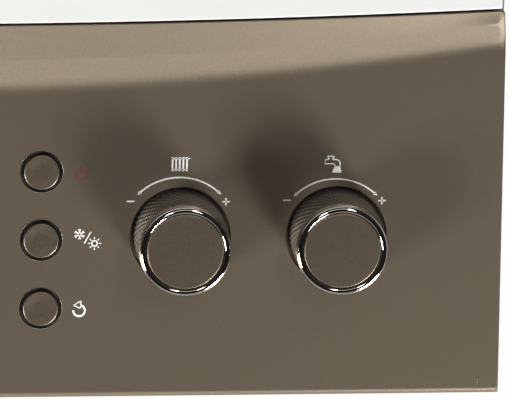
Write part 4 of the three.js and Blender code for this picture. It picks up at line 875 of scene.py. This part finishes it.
def front_cover():
    """The white front cover, which starts a narrow gap above the panel and ends level at the top,
    thin black strips of painted shade along its rounded side edges, and a small mark at the panel's
    lower right corner."""
    cover = front_skin(lambda x: arc(*TOP, x) + 0.8, lambda x: 40.0 + 0 * x,
                       lambda x, z: -325.0 + 0 * x, (1.3, 0.9, 1.6), (0.5, 1.7), -290.3)
    level(piece("front_cover_pressing", cover, "white_enamel", "casing", ["front_cover"],
                closed=False, sharp=50, wall=1.2))
    # Painted shade: thin black strips along the cover's side edges stand in for the shade on its
    # rounded edges.
    bricks("cover_edge_shade_strips", [(x - 0.22, x + 0.22, -324.98, -323.2, -553.4, 38.4)
                                for x in (-219.2, 219.2)], "black_plastic", "casing", 0.08)
    bricks("corner_mark", [(211.95, 212.3, -330.15, -329.5, -695.7, -694.0)], "taupe_panel",
           "control_panel", 0.06)


def pressure_gauge():
    """The gauge: cup and bezel, card, needle on its hub, window and printed scale."""
    gauge = (GAUGE_X, 0, ROW)
    lathe("gauge_bezel_and_cup",
          [(0, -315), (20, -315), (20, -331.2), (20.4, -331.8), (23.6, -331.8), (24.5, -330.9),
           (24.5, -330.3), (22, -330.3), (22, -313), (0, -313)],
          gauge, "black_plastic", "control_panel", ["gauge_case"], steps=120, rounding=0.35)
    for name, back, front, slot, node, rounding in (
            ("gauge_card", -315.3, GAUGE_CARD, "dial_white", "gauge_dial", 0.2),
            ("gauge_window", -325.5, -327.5, "clear_glass", "gauge_lens", 0.3)):
        lathe(name, [(0, front), (19.7, front), (19.7, back), (0, back)], gauge, slot,
              "control_panel", [node], steps=120, rounding=rounding)
    ahead, across = spot(0, 0, 1, 225), spot(0, 0, 1, 315)
    blade = [s * ahead + w * across + (GAUGE_X, ROW)
             for s, w in ((-6, 0.8), (-6, -0.8), (10.5, -0.8), (15, 0), (10.5, 0.8))]
    blade = np.stack([np.insert(blade, 1, y, axis=1) for y in (-319.2, -318.4)])
    hub = turned([(0, -319.5), (2.4, -319.5), (3, -318.9), (3, -316.6), (0, -316.6)], gauge)
    piece("needle_and_hub", [quads(blade), lid(blade[0]), lid(blade[1]), quads(hub)], "red_paint",
          "needle", ["gauge_needle"], sharp=30)
    printed("pressure_scale_print", pressure_scale(GAUGE_X, ROW), black_ink, "black_plastic",
            GAUGE_CARD - 2 * INK)
    printed("pressure_limit_print", [bow(GAUGE_X, ROW, 17.0, -44, 22, 1.1)], red_ink, "red_paint",
            GAUGE_CARD - 1.5 * INK)


def fastenings():
    """Screw heads, and the ribs on the back of the control box."""
    corners = [(-1, -1), (-1, 1), (1, -1), (1, 1)]
    round_pump = np.radians(45 + 90 * np.arange(4))
    front, up, down = (0, -1, 0), (0, 0, 1), (0, 0, -1)
    screws("chamber_cover_screws",
           [(x, -271.5, z) for x in (-190, 190) for z in (-362, -172, 16)]
           + [(0, -271.5, 16), (0, -271.5, -362)], front)
    screws("top_plate_screws", [(205 * i, -152.5 + 122.5 * j, 40) for i, j in corners], up)
    screws("rail_screws", [(192 * i, TAIL_Y + 27 * j, -699) for i, j in corners], down, head=3.0)
    screws("pump_screws",
           [(130 + 49 * math.cos(a), -134, -518 + 49 * math.sin(a)) for a in round_pump],
           front, head=3.6)
    screws("gas_valve_screws", [(32 * i, -198, -497.5 + 40.5 * j) for i, j in corners], front,
           head=3.0)
    screws("diverter_motor_screws", [(-148, -183.7, -562), (-112, -183.7, -598)], front, head=2.2)
    screws("control_box_screws", [(x, -239, z) for x in (-198, 0, 198) for z in (-683, -577)],
           (0, 1, 0), "control_panel", 3.0)
    ribs = np.concatenate([np.linspace(-180, -60, 13), np.linspace(57, 177, 13)])
    bricks("control_box_ribs", [(x, x + 3, -239.2, -237.6, -668, -592) for x in ribs],
           "black_plastic", "control_panel", 0.6)


def pipes():
    """Three bent copper pipes, and the gas tail with its nut."""
    for node, route in {
            "flow_pipe": [(-130, -105, -519.7), (-130, -105, -445.85), (-140, -177, -445.85),
                          (-140, -177, -210.8)],
            "return_pipe": [(130, -105, -451.7), (130, -105, -411.85), (140, -177, -411.85),
                            (140, -177, -210.8)],
            "gas_burner_pipe": [(0, -155, -449.7), (0, -155, -410.85), (0, -238.3, -410.85),
                                (0, -238.3, -354.3)]}.items():
        piece(node + "_bent", [hose(route, 7.5, 6.3)], "copper", "casing", [node])
    tail = hose([(0, TAIL_Y, -725), (0, TAIL_Y, -665), (0, -155, -665), (0, -155, -545.3)], 9, 7)
    nut = turned([(8.9, -697.2), (12.6, -697.2), (13, -696.8), (13, -688.6), (12.6, -688.2),
                  (8.9, -688.2), (8.9, -697.2)], (0, TAIL_Y, 0), "z", 6)
    piece("gas_tail_bent", [tail, quads(nut)], "copper", "casing", ["gas_inlet_pipe"], sharp=30)


def flue_collar():
    """An outer cup with a foot and a rim, the exhaust tube inside it and three ribs."""
    flue = np.array((0, -178, 0))
    cup = [(48.4, 26.3), (61.6, 26.3), (62, 26.7), (62, 27.5), (61.6, 27.9), (50.6, 27.9),
           (50, 28.5), (50, 54.6), (50.4, 55), (58.6, 55), (59, 55.4), (59, 57.4), (58.4, 58),
           (49, 58), (48.4, 57.4), (48.4, 26.3)]
    tube = [(30, 17.6), (31.5, 17.6), (31.5, 57.6), (31.1, 58), (30.4, 58), (30, 57.6), (30, 17.6)]
    parts = [quads(turned(profile, flue, "z", 120)) for profile in (cup, tube)]
    rib = np.array([[(x, y, z) for y, z in ((-1.5, 48), (1.5, 48), (1.5, 57.8), (-1.5, 57.8))]
                    for x in (30.8, 49.2)])
    for turn in (0, 120, 240):
        ends = rib @ np.array(Matrix.Rotation(math.radians(turn), 3, "Z")).T + flue
        parts += [quads(ends), lid(ends[0]), lid(ends[1])]
    piece("flue_collar_spun", parts, "zinc_steel", "casing", ["flue_collar"], sharp=50)


def valve_and_tap():
    """The safety valve with its lobed cap, and the filling tap's fluted knob. A lobed ring is
    1 - 0.04 (1 + cos 8a) times as wide as a round one."""
    lathe("safety_valve_body",
          [(0, -165.3), (11.8, -165.3), (13, -164.1), (13, -157.6), (11.9, -156.6), (11.9, -153.4),
           (13, -152.4), (13, -134.5), (11.8, -133.3), (0, -133.3)],
          VALVE, "brass", "casing", ["safety_valve"], rounding=0.4)
    cap = eased([(0, -181.6), (17, -181.6), (17, -165.6), (0, -165.6)], 1.2)
    lobes = 1 - 0.04 * (1 + np.cos(8 * round_turn(192)))
    cap = turned(cap, (0, 0, 0), "y", 192) * np.stack([lobes, np.ones(192), lobes], axis=-1)
    piece("safety_cap_moulding", [quads(cap + VALVE)], "red_paint", "safety_cap",
          ["safety_valve_cap"], sharp=50)
    bricks("safety_cap_mark", [(129.2, 130.8, -182.0, -181.4, -613, -604)], "dial_white",
           "safety_cap", 0.15)
    knob = eased([(0, -717.6), (12.6, -717.6), (15, -713.1), (15, -699.6), (4.3, -699.6),
                  (4.3, -708.6), (0, -708.6)], 0.8)
    piece("filling_knob_moulding", [quads(fluted(knob, (FILLING_X, TAIL_Y, 0), 8, 16.2, 2.7))],
          "blue_plastic", "filling_handle", ["filling_knob"], sharp=50)
    bricks("filling_knob_mark", [(96.7, 98.3, -115, -107, -718.0, -717.4)], "dial_white",
           "filling_handle", 0.15)


def other_solids():
    """Every solid that no piece stands for keeps its shape, with its real edges in mm."""
    edge_of = {
        "left_side_panel": 0.35, "right_side_panel": 0.35, "top_plate": 0.35, "back_frame": 0.4,
        "wall_bracket": 0.4, "pump_body": 1.6, "gas_valve": 1.0, "diverter_valve": 1.0,
        "diverter_motor": 2.2, "pump_motor": 1.4, "control_box": 0.8, "fan_housing": 1.2,
        "expansion_vessel": 1.0, "display_lens": 0.5, "plate_heat_exchanger": 0.5,
        "fan_impeller": 0.15}
    held = {node for made in bpy.data.objects for node in made.get("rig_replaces", [])}
    for node, source in sorted(frame["nodes"].items()):
        if node not in held:
            dressed(node, source.data.materials[0].name.split(".")[0], edge_of.get(node, 0.3))


# Camera, lights, floor and surroundings, in metres

AIM = Vector((0.1256, FACE * MM, -0.6227))
LIT = Vector((0.13, -0.33, -0.62))
FOCAL, PHOTO_WIDTH = 8445, 510    # pixels
CAMERA_AWAY, SENSOR = 3.2, 36.0


def direction(azimuth, elevation):
    """A way out from the front: azimuth from straight ahead to the right and elevation from level,
    in degrees."""
    a, e = math.radians(azimuth), math.radians(elevation)
    return Vector((math.sin(a) * math.cos(e), -math.cos(a) * math.cos(e), math.sin(e)))


def lamp(name, azimuth, elevation, far, width, height, power, lean=0.0):
    """A soft rectangular lamp of some watts that faces the controls from a distance, leaning to its
    right by some degrees."""
    light = bpy.data.lights.new(name, "AREA")
    light.shape, light.size, light.size_y, light.energy = "RECTANGLE", width, height, power
    made = bpy.data.objects.new(name, light)
    bpy.context.scene.collection.objects.link(made)
    made.location = LIT + far * direction(azimuth, elevation)
    facing = (made.location - LIT).to_track_quat("Z", "Y").to_matrix()
    made.rotation_euler = (facing @ Matrix.Rotation(math.radians(-lean), 3, "Z")).to_euler()


def place_camera():
    """The camera, which looks down and a little from the left at the point AIM."""
    camera = bpy.data.objects.new("camera", bpy.data.cameras.new("camera"))
    bpy.context.scene.collection.objects.link(camera)
    back, roll = direction(-5.4, 14.2), math.radians(0.92)
    right = (-back).cross(Vector((0, 0, 1))).normalized()
    upward = right.cross(-back)
    turned_right = math.cos(roll) * right + math.sin(roll) * upward
    turned_up = math.cos(roll) * upward - math.sin(roll) * right
    axes = Matrix((turned_right, turned_up, back)).transposed().to_4x4()
    camera.matrix_world = Matrix.Translation(AIM + CAMERA_AWAY * back) @ axes
    camera.data.sensor_width = SENSOR
    camera.data.lens = FOCAL * SENSOR / PHOTO_WIDTH
    camera.data.clip_start, camera.data.clip_end = 0.05, 50.0
    bpy.context.scene.camera = camera


def lay_floor():
    """A small round floor far below, as the boiler hangs on a wall."""
    turn = round_turn(64)
    disc = np.stack([1.5 * np.cos(turn), 1.5 * np.sin(turn), np.full(64, -1.9)], axis=-1)
    floor_mesh = bpy.data.meshes.new("floor")
    floor_mesh.from_pydata(disc.tolist(), [], [list(range(64))])
    floor = bpy.data.objects.new("floor", floor_mesh)
    bpy.context.scene.collection.objects.link(floor)
    pale = finish("pale_floor", None, "D8D8D6", 0.8)
    uneven(pale, 300, "D5D5D3", "DBDBD9", 0.03)
    floor_mesh.materials.append(pale.material)


def surroundings():
    """White behind the boiler and dark in front of it."""
    world = bpy.data.worlds.new("studio")
    bpy.context.scene.world = world
    world.use_nodes = True
    tree = world.node_tree
    tree.nodes.clear()
    heading = add(tree, "SeparateXYZ", {"Vector": add(tree, "TexCoord").outputs["Generated"]})
    height = add(tree, "MapRange", {
        "Value": heading.outputs["Z"], "From Min": -0.12, "From Max": 0.3, "To Min": 0.015,
        "To Max": 0.03}, interpolation_type="SMOOTHSTEP")
    behind = add(tree, "MapRange", {
        "Value": heading.outputs["Y"], "From Min": 0.05, "From Max": 0.45},
        interpolation_type="SMOOTHSTEP")
    shade = add(tree, "Math", {0: behind.outputs["Result"], 1: height.outputs["Result"]},
                operation="MAXIMUM")
    sky = add(tree, "Background", {"Color": shade.outputs["Value"], "Strength": 1.0})
    add(tree, "OutputWorld", {"Surface": sky.outputs["Background"]})


# Everything, in order

controls()
front_cover()
pressure_gauge()
fastenings()
pipes()
flue_collar()
valve_and_tap()
other_solids()
place_camera()

# Two leaning windows and a broad dim one above light the front, and two low lamps cast the long
# shadows of the knobs. Each has its azimuth, elevation, distance, width, height, watts and lean.
lamp("right_window", 16.3, 29, 2.4, 0.26, 1.6, 8.5, 13)
lamp("left_window", -9.5, 16, 2.4, 0.24, 1.1, 4.2, -24)
lamp("skylight", 4, 36, 2.4, 1.3, 0.8, 2.8)
lamp("low_right", 47, -46, 1.2, 0.36, 0.36, 16)
lamp("low_left", -56, -26, 1.2, 0.36, 0.36, 13)

lay_floor()
surroundings()
bpy.context.scene.view_settings.view_transform = "Standard"
